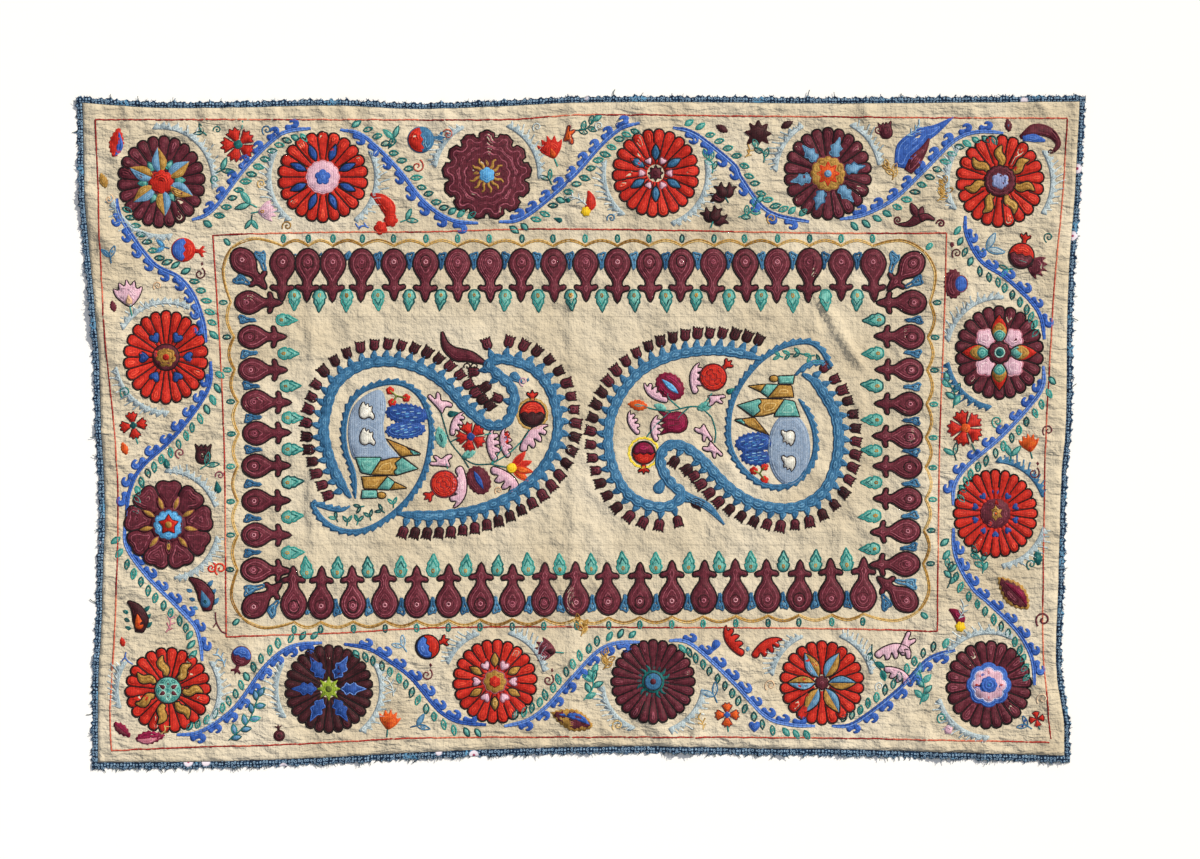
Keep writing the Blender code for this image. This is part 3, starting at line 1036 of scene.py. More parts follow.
def tulip(colour="burgundy", edge="black"):  # three-pointed cup, base at 0, 0
    half = [(0, 0), (5.2, 1.5), (7.6, 7), (6.8, 13), (8.4, 20.5), (4.0, 16.5), (2.0, 20), (0, 15.5)]
    return [fill(mirrored(half), colour, edge=edge, pitch=3, edgeWidth=0.66)] + [
        line([(x, 17 - abs(x)), (0.6 * x, 6)], edge, 0.42) for x in (-2.4, 2.4)]


def spray(colour="pink", edge="black"):  # curled leaf with a smooth back and a toothed belly
    shape = [(0, 0), (-5, 9), (-8, 20), (-8, 31), (-3, 42), (4, 47), (1, 39), (7, 40), (9, 35), (1, 31),
             (8, 30), (12, 25), (2, 22), (9, 19), (11, 13), (3, 12), (7, 6), (5, 1)]
    return [fill(throughPoints(shape, True, 2.5), colour, edge=edge, pitch=3, edgeWidth=0.75)]


def fork(colour="pink", edge="black"):  # a leaf that ends in two or three lobes
    shape = [(0, 0), (-4, 9), (-9, 20), (-12, 27), (-8, 30), (-3, 21), (0, 27), (3, 30), (5, 25), (4, 17),
             (11, 14), (17, 8), (14, 4), (7, 7)]
    return [fill(throughPoints(shape, True, 2.5), colour, edge=edge, pitch=3, edgeWidth=0.75)]


def pomegranate(r, upper, lower=None, edge="black", scales=False):  # round fruit with its crown upwards
    crown = [(-3.5, 0.9 * r), (-3, 1.3 * r), (-9, 1.55 * r), (-8, 1.75 * r), (-2.5, 1.6 * r),
             (0, 1.95 * r), (2.5, 1.6 * r), (8, 1.75 * r), (9, 1.55 * r), (3, 1.3 * r), (3.5, 0.9 * r)]
    parts = [fill(densified(np.array(crown), 3), upper, edge=edge, pitch=3, edgeWidth=0.75),
             fill(ellipse(r), upper, edge=edge, pitch=3, edgeWidth=0.8)]
    if lower:
        teeth = [(-0.93 * r + 0.31 * r * k, -0.02 * r + (0.2 * r if k % 2 else 0.0)) for k in range(7)]
        bowl = [(0.93 * r * math.cos(a), 0.93 * r * math.sin(a))
                for a in np.linspace(0, -math.pi, 17)[1:-1]]
        parts.append(fill(densified(np.array(teeth + bowl), 3), lower, edge=edge, pitch=3, edgeWidth=0.6))
    if scales:
        for row in range(-2, 3):
            for column in range(-2, 3):
                cx, cy = (column + 0.5 * (row % 2)) * 9.5, row * 8.0
                if math.hypot(cx, cy) < r - 4:
                    bow = [(cx + 4.7 * math.cos(a), cy - 4.2 * math.sin(a))
                           for a in np.linspace(0, math.pi, 6)]
                    parts.append(line(bow, "maroon", 0.5))
    return parts


def carnation(r, colour, centre="teal", edge=None, petals=9):
    fan = [(0, 0), (-5, 9), (-11, 19), (-6.5, 18), (-4, 24), (0, 19.5), (4, 24), (6.5, 18), (11, 19),
           (5, 9)]
    fans = max(4, (petals + 1) // 2)
    parts = around([fill(throughPoints(np.array(fan) * r / 22, True, 2.5), colour, edge=edge or "maroon",
                         pitch=3, edgeWidth=0.6)], fans, 0.5)
    parts += [fill(scallops(4, 0.3 * r, 1.6), centre, pitch=2.8)]
    parts += [line([(0.5, -r), (2, -1.5 * r)], "teal", 0.7)]
    return parts


def sideCarnation(size, colour, centre="steelBlue", edge=None):  # fan of ragged petals on a cup
    fan = [(0, 0), (-7, 5), (-15, 14), (-17, 24), (-11, 21), (-9, 30), (-3, 25), (0, 33), (4, 25),
           (10, 30), (11, 20), (18, 22), (14, 12), (7, 4)]
    return [fill(throughPoints(np.array(fan) * size, True, 2.5), colour, edge=edge, pitch=3, edgeWidth=0.7),
            fill(moved(drop(13 * size, 8 * size), 0, 2), centre, pitch=2.8),
            line([(0, 0), (1, -12 * size)], "teal", 0.7)]


def jaggedFlower(size, colour):
    shape = [(0, -14), (-4, -8), (-15, -13), (-11, -3), (-18, 3), (-10, 6), (-12, 15), (-5, 11), (0, 19),
             (4, 11), (12, 14), (10, 5), (17, 1), (10, -3), (13, -12), (4, -8)]
    return [fill(throughPoints(np.array(shape) * size, True, 2.5), colour, edge="maroon", pitch=3,
                 edgeWidth=0.6)]


def twoToneLeaf(length, width, left, right, frill=None):  # serrated leaf, its halves in two colours
    parts = []
    if frill:
        parts.append(fill(toothed(moved(leaf(length + 6, width + 7), 0, -3), 1.6, 6), frill, pitch=3))
    parts.append(fill(toothed(leaf(length, width), 2.2, 7), left, pitch=3))
    parts.append(fill(moved(halfLeaf(length * 0.86, width * 0.95, 1), 1, 1), right, pitch=3))
    return parts


def chili(length, colour, tip="yellow"):
    body = brush([(0, 0), (3, 0.35 * length), (-1, 0.7 * length), (-9, length)], (9, 17, 13, 3))
    return [fill(body, colour, pitch=3), fill(scallops(6, 8, 2) + (0, -2), tip, pitch=3)]


def blades(colour="teal", core="aqua", size=1.0):  # two pointed leaves in a V
    return [fill(moved(leaf(19 * size, 6.5 * size), 0, 0, turn), core, edge=colour, pitch=2.8,
                 edgeWidth=0.7)
            for turn in (38, -34)] + [line([(0, 0), (-1, -9 * size)], colour, 0.7)]


def twig(colour="teal", core="aqua", leaves=5, length=36.0, bend=6.0):  # a stem with leaflets to both sides
    stem = throughPoints([(0, 0), (bend, 0.5 * length), (0, length)], step=3)
    parts = [line(stem, colour, 0.65)]
    for k in range(leaves):
        place = stem[int((k + 1) * (len(stem) - 1) / leaves)]
        turn = 0 if k == leaves - 1 else (46 if k % 2 else -46)
        parts.append(fill(moved(leaf(15, 7.4), *place, turn), core, edge=colour, pitch=2.7, edgeWidth=0.7))
    return parts


def wisp(colour="paleBlue", length=26.0, barbs=5):  # feathery sprig of single rows
    stem = throughPoints([(0, 0), (3, 0.5 * length), (-1, length)], step=3)
    parts = [line(stem, colour, 0.7)]
    for k in range(1, barbs + 1):
        x, y = stem[int(k * (len(stem) - 1) / barbs)]
        parts.append(line([(x, y), (x + (7 if k % 2 else -7), y + 6)], colour, 0.65))
    return parts


def bud(colour, slit=None, length=22.0):
    parts = [fill(toothed(leaf(length, 0.5 * length), 1.2, 5), colour, pitch=2.8)]
    if slit:
        parts.append(fill(moved(leaf(0.72 * length, 0.17 * length), 0, 0.14 * length), slit, pitch=2.8))
    return parts


def teardrop(colour, length=14.0):
    return [fill(drop(length, 0.55 * length), colour, pitch=2.8)]


def flame(colour, streak):  # a full, bending leaf with a streak of a second colour at its foot
    return [fill(brush([(0, 0), (8, 26), (28, 46), (52, 58), (78, 76)], (20, 34, 26, 13, 2)), colour,
                 pitch=3),
            fill(brush([(10, -6), (22, 12), (34, 28), (42, 44)], (13, 20, 12, 3)), streak, pitch=3)]


def quiff():  # a curling feather with a blue belly
    return [fill(brush([(0, 0), (24, 14), (46, 9), (58, -5), (52, -17)], (6, 19, 17, 11, 5)), "burgundy",
                 pitch=3),
            fill(brush([(4, -1), (20, 1), (38, -2)], (8, 13, 4)), "vineBlue", pitch=3),
            line(spiral(4.5, 1.2, 0.2) + (44, -19), "burgundy", 0.8)]


def curledLily(colour):  # three lobes and a long tail, with a curl at either side
    return [fill(brush([(-30, -13), (-14, -12), (0, -2), (6, 14)], (3, 9, 17, 3)), colour, edge="black",
                 edgeWidth=0.6),
            fill(brush([(24, -6), (12, -1), (2, -4)], (3, 9, 12)), colour, edge="black", edgeWidth=0.6),
            fill(moved(leaf(24, 11), -2, -2, 24), colour, edge="black", edgeWidth=0.6),
            line(moved(spiral(6), -30, -14, 60), colour, 0.9),
            line(moved(spiral(6), 26, -10, -50), colour, 0.9)]


def thistle():  # a toothed head with a blue dome standing up from it
    return [fill(toothed(ellipse(22, 13), 2.6, 7), "burgundy", pitch=3),
            fill(moved(ellipse(13, 10), 0, 12), "vineBlue", edge="burgundy", pitch=3, edgeWidth=0.6)]


def curledPaisley(length, outer, middle, eye, leaves=None):
    path = [(0, 0), (4, 0.4 * length), (0, 0.75 * length), (-9, length)]
    parts = []
    if leaves:
        for share in (0.1, 0.35, 0.6):
            for side in (-1, 1):
                parts.append(fill(moved(leaf(12, 6), side * 9, share * length, -side * 55), leaves,
                                  pitch=2.8))
    parts += [fill(brush(path, (10, 21, 15, 3)), outer, edge="black", pitch=3, edgeWidth=0.7),
              fill(moved(drop(0.5 * length, 0.26 * length), 1, 0.08 * length), middle, pitch=2.8),
              fill(moved(drop(0.22 * length, 0.12 * length), 1, 0.17 * length), eye, pitch=2.6)]
    return parts


def threeTulips():
    tulipShape = mirrored([(0, 0), (6, 3), (8, 10), (5, 16), (7, 23), (0, 18)])
    return [fill(moved(tulipShape, 0, 0, turn), "maroon", edge="black", pitch=3, edgeWidth=0.6)
            for turn in (62, -62, 0)] + [line([(0, 0), (0, -10)], "teal")]


fillers = [  # x, y, turn, size, parts
    # far side, from the left
    (-699, 412, -8, 1.0, twoToneLeaf(44, 20, "red", "vineBlue")),
    (-712, 366, 20, 0.9, bud("gold", None, 26)), (-703, 356, 200, 0.8, curl("peach", 8)),
    (-566, 449, 60, 0.8, blades()), (-552, 452, -30, 0.8, curl("teal", 7)),
    (-477, 446, 10, 0.9, curl("steelBlue", 8)), (-514, 431, 165, 1.0, carnation(24, "red", "teal")),
    (-539, 392, -60, 1.1, blades()), (-552, 371, 30, 0.8, curl("teal", 8)),
    (-482, 365, 30, 0.8, curl("gold", 8)), (-449, 306, -20, 0.9, curl("gold", 8)),
    (-494, 318, 178, 0.9, blades()), (-484, 330, -84, 0.95, sideCarnation(0.95, "pink", "gold")),
    (-496, 342, 70, 1.3, blades()), (-596, 273, -95, 0.95, pomegranate(19, "red", "vineBlue", None)),
    (-624, 277, 80, 0.9, blades("steelBlue", "sky")), (-566, 246, 200, 0.9, curlAndDrop("burgundy")),
    (-705, 262, 12, 1.0, blades("steelBlue", "paleSteel")),
    (-676, 188, 8, 1.25, sideCarnation(1.0, "pink", "peach", "black")),
    (-699, 180, 14, 0.8, bud("burgundy", None, 22)), (-641, 214, 0, 0.8, curl("peach", 8)),
    (-281, 440, 12, 1.1, blades()), (-279, 441, 150, 1.0, teardrop("teal", 20)),
    (-240, 438, -84, 1.0, pomegranate(20, "steelBlue", "red", None)),
    (-206, 452, -80, 0.8, curl("ruleRed", 9)), (-239, 408, 200, 0.9, curl("ruleRed", 10)),
    (-286, 320, 24, 1.35, chili(34, "red", "red")),
    (-300, 306, 20, 0.9, [fill(scallops(5, 12, 3), "red")]), (-262, 318, -62, 1.0, blades()),
    (-318, 306, 84, 0.8, wisp("vineBlue", 20, 3)),
    (-40, 410, 18, 1.15, sideCarnation(0.95, "red", "orange")),
    (-26, 436, -40, 0.8, fork("orange", "maroon")), (-47, 378, 30, 0.9, blades()),
    (-8, 452, -60, 1.0, twig(length=30)), (-72, 452, 0, 0.8, curl("paleBlue", 8)),
    (23, 452, 20, 0.8, curl("paleBlue", 8)), (8, 332, -22, 0.95, chili(30, "red", "yellow")),
    (8, 340, 60, 0.9, wisp("paleBlue", 30, 6)), (38, 318, -20, 0.8, curl("steelBlue", 8)),
    (-17, 344, 40, 0.9, teardrop("teal", 14)), (-28, 316, 70, 0.9, teardrop("teal", 16)),
    (266, 446, 0, 1.15, jaggedFlower(1.0, "maroon")), (220, 450, 62, 0.85, bud("maroon", None, 24)),
    (300, 456, -62, 0.85, bud("maroon", None, 24)), (274, 404, 24, 1.0, twig(leaves=3, length=24)),
    (246, 412, -30, 0.8, wisp("gold", 18, 4)), (216, 352, 30, 1.0, threeTulips()),
    (198, 316, -20, 1.0, threeTulips()), (236, 322, -50, 1.0, twig(length=34)),
    (197, 388, 20, 0.9, twig(leaves=4, length=28)), (281, 312, 20, 0.9, curl("gold", 8)),
    (459, 440, 10, 1.25, tulip("burgundy", "maroon")), (447, 446, 60, 0.8, curl("burgundy", 7)),
    (488, 444, -50, 0.9, wisp("paleSteel", 28, 6)), (480, 396, 0, 1.0, flame("vineBlue", "burgundy")),
    (467, 378, 20, 0.9, twig("gold", "gold", 5, 22)), (534, 346, -20, 1.0, twig("gold", "gold", 5, 26)),
    (506, 324, 0, 1.0, curledLily("burgundy")), (658, 441, -4, 1.0, quiff()),
    (642, 450, 10, 0.9, bud("burgundy", "steelBlue", 22)),
    # right side, from the far end
    (558, 222, -90, 0.95, thistle()), (556, 262, 0, 0.9, curl("burgundy", 8)),
    (556, 276, 0, 0.8, teardrop("burgundy", 16)), (608, 274, -66, 1.5, blades("steelBlue", "paleBlue")),
    (660, 264, -12, 0.95, pomegranate(20, "red", "burgundy")),
    (668, 254, -112, 1.0, sideCarnation(1.0, "burgundy", "maroon")), (696, 284, 20, 0.9, curl("teal", 8)),
    (640, 244, 100, 0.8, blades()), (558, 36, 12, 1.1, twig(length=36)),
    (576, 6, 20, 1.0, carnation(25, "red", "orange")), (560, -34, 24, 1.0, blades()),
    (620, 6, 30, 0.9, curl("teal", 9)), (645, -36, -10, 1.1, blades()),
    (674, -30, 10, 0.95, sideCarnation(0.9, "orange", "red")), (692, -4, 0, 0.9, curl("burgundy", 9)),
    (686, -54, 190, 0.9, curlAndDrop("burgundy")), (686, -200, 6, 1.1, bud("teal", "aqua", 22)),
    (670, -206, 20, 0.9, curl("teal", 8)),
    # left side, from the far end
    (-689, 52, 10, 0.9, curl("teal", 9)), (-671, 10, 10, 1.0, carnation(19, "red", "teal", "black", 8)),
    (-681, -34, 20, 0.9, bud("orange", "red", 22)), (-566, -48, 0, 1.5, tulip("maroon", "black")),
    (-562, -50, -50, 1.1, blades()), (-604, -40, 30, 0.9, curl("burgundy", 8)),
    (-549, -66, -30, 0.8, curl("burgundy", 8)), (-618, -56, 20, 0.9, bud("teal", "aqua", 20)),
    (-543, -92, 10, 1.0, teardrop("teal", 20)), (-547, -214, 16, 1.0, curl("red", 9, 0.9)),
    (-549, -196, 200, 0.9, curl("red", 8, 0.9)),
    # near side, from the left
    (-560, -268, 18, 1.2, curledPaisley(46, "burgundy", "steelBlue", "teal", "steelBlue")),
    (-548, -270, 196, 0.9, wisp("burgundy", 34, 2)),
    (-662, -300, 8, 1.15, curledPaisley(42, "maroon", "orange", "red", "teal")),
    (-622, -300, -20, 0.9, wisp("rose", 24, 5)), (-686, -322, 10, 0.9, bud("red", "orange", 16)),
    (-682, -330, 190, 0.9, wisp("vineBlue", 16, 2)),
    (-700, -436, -130, 1.0, twoToneLeaf(32, 13, "crimson", "burgundy")),
    (-668, -460, -84, 1.1, twoToneLeaf(40, 16, "crimson", "rose")),
    (-630, -452, -40, 0.8, wisp("gold", 16, 3)),
    (-509, -336, 160, 0.9, pomegranate(17, "burgundy", "vineBlue", None)),
    (-534, -352, 30, 0.9, wisp("paleSteel", 26, 5)),
    (-528, -462, -34, 1.1, twig("teal", "paleSteel", 9, 72, 8)),
    (-452, -455, 8, 0.62, pomegranate(14, "maroon", None, None)),
    (-230, -322, -70, 1.0, pomegranate(18, "red", "vineBlue", "black")),
    (-266, -322, 40, 1.0, blades("paleSteel", "paleBlue")),
    (-224, -356, 190, 0.9, curlAndDrop("burgundy")),
    (-290, -446, -10, 1.1, sideCarnation(0.85, "orange", "red")),
    (-246, -440, -70, 1.1, blades("steelBlue", "paleSteel")),
    (-281, -396, 20, 1.0, wisp("paleBlue", 30, 5)),
    (-38, -330, 80, 1.1, sideCarnation(0.95, "burgundy", "maroon")),
    (-42, -364, 190, 0.9, curlAndDrop("burgundy")), (0, -306, 10, 0.9, twig("gold", "gold", 5, 24)),
    (33, -356, -10, 0.9, twig("gold", "gold", 5, 24)), (18, -374, 20, 1.0, blades()),
    (4, -402, -20, 1.1, twig(length=38)), (47, -446, 0, 0.9, curl("gold", 9)),
    (14, -440, 72, 1.25, twoToneLeaf(46, 17, "burgundy", "vineBlue", "gold")),
    (206, -312, 150, 1.0, teardrop("vineBlue", 22)), (240, -336, 30, 1.1, spray("red", "maroon")),
    (256, -334, -60, 1.1, spray("red", "maroon")), (250, -330, 0, 0.9, teardrop("paleSteel", 14)),
    (219, -424, 0, 1.05, carnation(16, "orange", "vineBlue", "maroon", 7)),
    (200, -396, 30, 1.2, blades("steelBlue", "paleBlue")),
    (260, -450, 0, 1.2, [fill(heart(14), "vineBlue", pitch=2.8)]),
    (183, -446, 20, 0.9, wisp("gold", 22, 5)), (276, -386, 0, 0.9, curl("peach", 9)),
    (440, -332, -80, 1.15, spray("pink", "black")), (474, -330, -50, 1.15, fork("pink", "black")),
    (456, -352, -120, 1.0, spray("pink", "black")), (436, -318, 200, 1.1, twig("teal", "teal", 3, 38)),
    (508, -408, 0, 1.1, twig("teal", "aqua", 7, 42)), (536, -436, 20, 0.9, curl("teal", 8)),
    (550, -446, 0, 1.0, [fill(scallops(5, 7, 2), "pink", pitch=2.8)]),
    (441, -386, 0, 0.8, curl("paleBlue", 8)),
    (668, -262, 44, 1.3, twoToneLeaf(44, 18, "burgundy", "crimson", "gold")),
    (682, -290, 0, 1.2, curl("burgundy", 9, 0.9)), (602, -212, 20, 1.0, twig(leaves=5, length=30)),
    (568, -290, 16, 1.0, chili(28, "crimson", "yellow")), (566, -280, -20, 0.9, wisp("paleBlue", 26, 6)),
    (549, -234, 0, 1.0, twig(leaves=4, length=32)), (683, -406, 0, 0.9, curl("peach", 9)),
    (683, -430, 10, 1.0, carnation(11, "red", "maroon", None, 6)),
    (669, -440, 60, 0.9, blades("steelBlue", "vineBlue")),
]


def workFillers():
    for x, y, turn, size, parts in fillers:
        put(parts, x, y, turn, size)


# the two great paisleys in the middle
paisley = {"band": 12.5, "lump": 3.4, "toothPitch": 16.5, "tulipReach": 11.0, "loopBand": 7.0, "saw": 4.6}
bandRoute = [(-345, -99), (-369, -58), (-383, -12), (-383, 22), (-368, 69), (-334, 97), (-291, 105),
             (-246, 96), (-207, 73), (-177, 40), (-147, 14), (-129, 9), (-110, 16), (-99, 46), (-106, 70),
             (-128, 90), (-138, 100), (-130, 107), (-110, 108), (-73, 94), (-46, 61), (-35, 15),
             (-43, -28), (-69, -67), (-105, -95), (-150, -114), (-196, -123), (-238, -125), (-276, -122)]
loopRoute = [(-338, -100), (-341, -61), (-352, -30), (-355, 0), (-351, 28), (-343, 46), (-328, 61),
             (-307, 70), (-283, 74), (-261, 69), (-242, 54), (-230, 30), (-225, 5), (-227, -23),
             (-233, -52), (-242, -74), (-256, -96), (-274, -115), (-294, -131), (-315, -143),
             (-337, -149), (-360, -147), (-380, -137), (-394, -122), (-400, -108), (-376, -115),
             (-358, -117), (-346, -111)]

secondBand = [(331, 87), (350, 75), (366, 52), (380, 26), (385, -2), (384, -32), (376, -64), (363, -88),
              (341, -105), (316, -113), (290, -113), (260, -106), (233, -91), (211, -72), (191, -50),
              (173, -33), (156, -22), (138, -18), (124, -25), (118, -42), (124, -62), (137, -80),
              (150, -92), (141, -106), (123, -112), (98, -108), (73, -94), (55, -69), (44, -37), (41, -7),
              (47, 28), (66, 65), (93, 93), (126, 110), (161, 119), (201, 122), (236, 118), (271, 109)]
secondLoop = [(326, 50), (340, 28), (349, 3), (351, -22), (346, -44), (333, -64), (316, -77), (293, -82),
              (271, -77), (251, -63), (233, -42), (223, -17), (222, 13), (226, 40), (238, 68), (256, 93),
              (276, 112), (301, 127), (326, 134), (346, 133), (362, 120), (372, 98), (363, 104),
              (351, 105), (336, 99), (320, 85)]


def raggedBand(route, width, tooth, pitch, saw):  # a band whose left side is lumpy or saw-toothed
    points, ways = evenly(throughPoints(route, step=2.5), 2.5)
    normals = np.stack((-ways[:, 1], ways[:, 0]), axis=-1)
    phase = (np.arange(len(points)) * 2.5 / pitch) % 1.0
    bump = tooth * (phase if saw else np.abs(np.sin(math.pi * phase)))
    taper = np.interp(np.linspace(0, 1, len(points)), (0, 0.03, 0.97, 1), (0.35, 1, 1, 0.35))
    left = points + normals * ((0.5 * width + bump) * taper)[:, None]
    right = points - normals * ((0.5 * width + 0.4 * bump * (not saw)) * taper)[:, None]
    return np.concatenate((left, right[::-1]))


def paisleyFrame(side):
    route, loopLine = ((bandRoute, loopRoute), (secondBand, secondLoop))[side]
    band = raggedBand(route, paisley["band"], paisley["lump"], paisley["toothPitch"], False)
    loop = raggedBand(loopLine, paisley["loopBand"], paisley["saw"], 12.0, True)
    put([fill(loop, "steelBlue", pitch=3.2), fill(band, "steelBlue", pitch=3.2)])
    points, ways = evenly(throughPoints(route, step=3), paisley["toothPitch"])
    placed = []
    for k in range(1, len(points) - 1):
        out = np.array((-ways[k][1], ways[k][0]))
        base = points[k] + out * 0.5 * paisley["band"]
        lean = out + ways[k] * 0.25
        seat = base + lean * paisley["tulipReach"] + out
        if placed and min(np.hypot(*(np.array(placed) - seat - out * 8).T)) < 13.5:
            continue
        placed.append(seat + out * 8)
        turn = math.degrees(math.atan2(-lean[0], lean[1]))
        put([fill(drop(18, 11), "steelBlue", pitch=3)], *(base - out * 2.5), turn)
        put(tulip("burgundy" if k % 7 < 4 else "maroon"), *seat, turn, dice.uniform(0.84, 0.96))
    scroll = brush([(-208, 150), (-203, 130), (-188, 117), (-166, 113), (-141, 102)], (3, 13, 20, 15, 3))
    if side == 0:
        put([fill(scroll, "burgundy", edge="black", pitch=3)] +
            [line(spiral(6, 1.1, 0.2) + (-176 + 11 * k, 97), "black", 0.7) for k in range(2)])
    else:
        put([fill(brush([(136, -78), (160, -97), (190, -112), (215, -139)], (8, 13, 12, 3)), "steelBlue",
                  pitch=3)])


def peak(a, b, tip):  # a pointed hill with a zigzag cap
    a, b, tip = (np.array(p, dtype=float) for p in (a, b, tip))
    low, high = a + (tip - a) * 0.6, b + (tip - b) * 0.6
    zigzag = [low + (high - low) * k / 4 + (tip - low) * (0.16 if k % 2 else 0.0) for k in range(5)]
    whole = throughPoints([a, 0.5 * (a + tip) + (tip - b) * 0.05, tip, 0.5 * (b + tip), b], False, 3)
    return [fill(whole, "gold", edge="black", pitch=3.0, edgeWidth=0.75),
            fill(densified(np.array(zigzag + [high + (tip - high) * 0.9, low + (tip - low) * 0.9]), 3),
                 "aqua",
                 edge="black", pitch=3.0, edgeWidth=0.6),
            line([0.3 * low + 0.3 * high + 0.4 * tip, 0.12 * low + 0.12 * high + 0.76 * tip], "teal", 0.7)]


def cap(size=1.0):  # a small white fan on a cushion, standing in for a figure
    shape = [(-9, -8), (-10, 2), (-7, 10), (-3, 14), (-1, 8), (3, 12), (4, 6), (9, 8), (8, 0), (12, -6),
             (10, -12), (4, -8), (-2, -11)]
    return [fill(throughPoints(np.array(shape) * size, True, 2.5), "white", edge="black", pitch=3.0,
                 edgeWidth=0.7)]


def cloud(rx, ry):  # a ragged patch flecked with a lighter thread
    parts = [fill(toothed(ellipse(rx, ry, 22), 2.8, 7.0), "cobalt", pitch=3.0)]
    for k in range(12):
        away = (k / 12) ** 0.5
        x, y = rx * 0.75 * math.cos(2.4 * k) * away, ry * 0.75 * math.sin(2.4 * k) * away
        parts.append(line([(x - 3, y - 0.5), (x + 3, y + 0.5)], "paleSteel" if k % 2 else "sky", 0.55))
    return parts


def berries(places, centre):
    parts = [line([centre, p], "olive", 0.8) for p in places]
    return parts + [fill(scallops(5, 6.5, 1.4) + p, "red", pitch=2.8) for p in places]


def padBud(colour, slit):  # a broad scalloped bud with a pointed slit
    length = 44.0
    return [fill(moved(toothed(ellipse(0.4 * length, 0.52 * length, 30), 1.8, 8), 0, 0.5 * length), colour,
                 pitch=3),
            fill(moved(leaf(0.76 * length, 0.2 * length), 0, 0.12 * length), slit, pitch=2.8)]


def lily():
    parts = [fill(moved(leaf(34, 11), 0, 0, turn), "red" if k % 2 else "orange", edge="red", pitch=3,
                  edgeWidth=0.6)
             for k, turn in enumerate((-128, -72, -100, -40))]
    return parts + [disc(8, "yellow")]


def hills():  # pointed hills beside a panel, in bands of gold and aqua
    parts = peak((-292, -10), (-270, -37), (-240, -33))
    for colour, corners in (
            ("aqua", [(-338, -38), (-330, -61), (-315, -64), (-302, -45), (-299, -38)]),
            ("gold", [(-302, -44), (-315, -64), (-277, -65), (-244, -55), (-266, -38), (-284, -39)]),
            ("aqua", [(-268, -38), (-279, -47), (-275, -54), (-281, -60), (-277, -65), (-244, -55)]),
            ("gold", [(-329, -67), (-326, -85), (-306, -86), (-290, -66)]),
            ("aqua", [(-290, -67), (-306, -86), (-287, -87), (-279, -75)]),
            ("gold", [(-279, -75), (-287, -87), (-260, -84)]),
            ("aqua", [(-328, -87), (-330, -100), (-305, -99), (-306, -87)])):
        parts.append(fill(densified(np.array(corners, dtype=float), 3), colour, edge="black", pitch=3,
                          edgeWidth=0.7))
    return parts + [fill(ellipse(7, 5) + (-299, -95), "gold", edge="black", pitch=2.8, edgeWidth=0.6)]


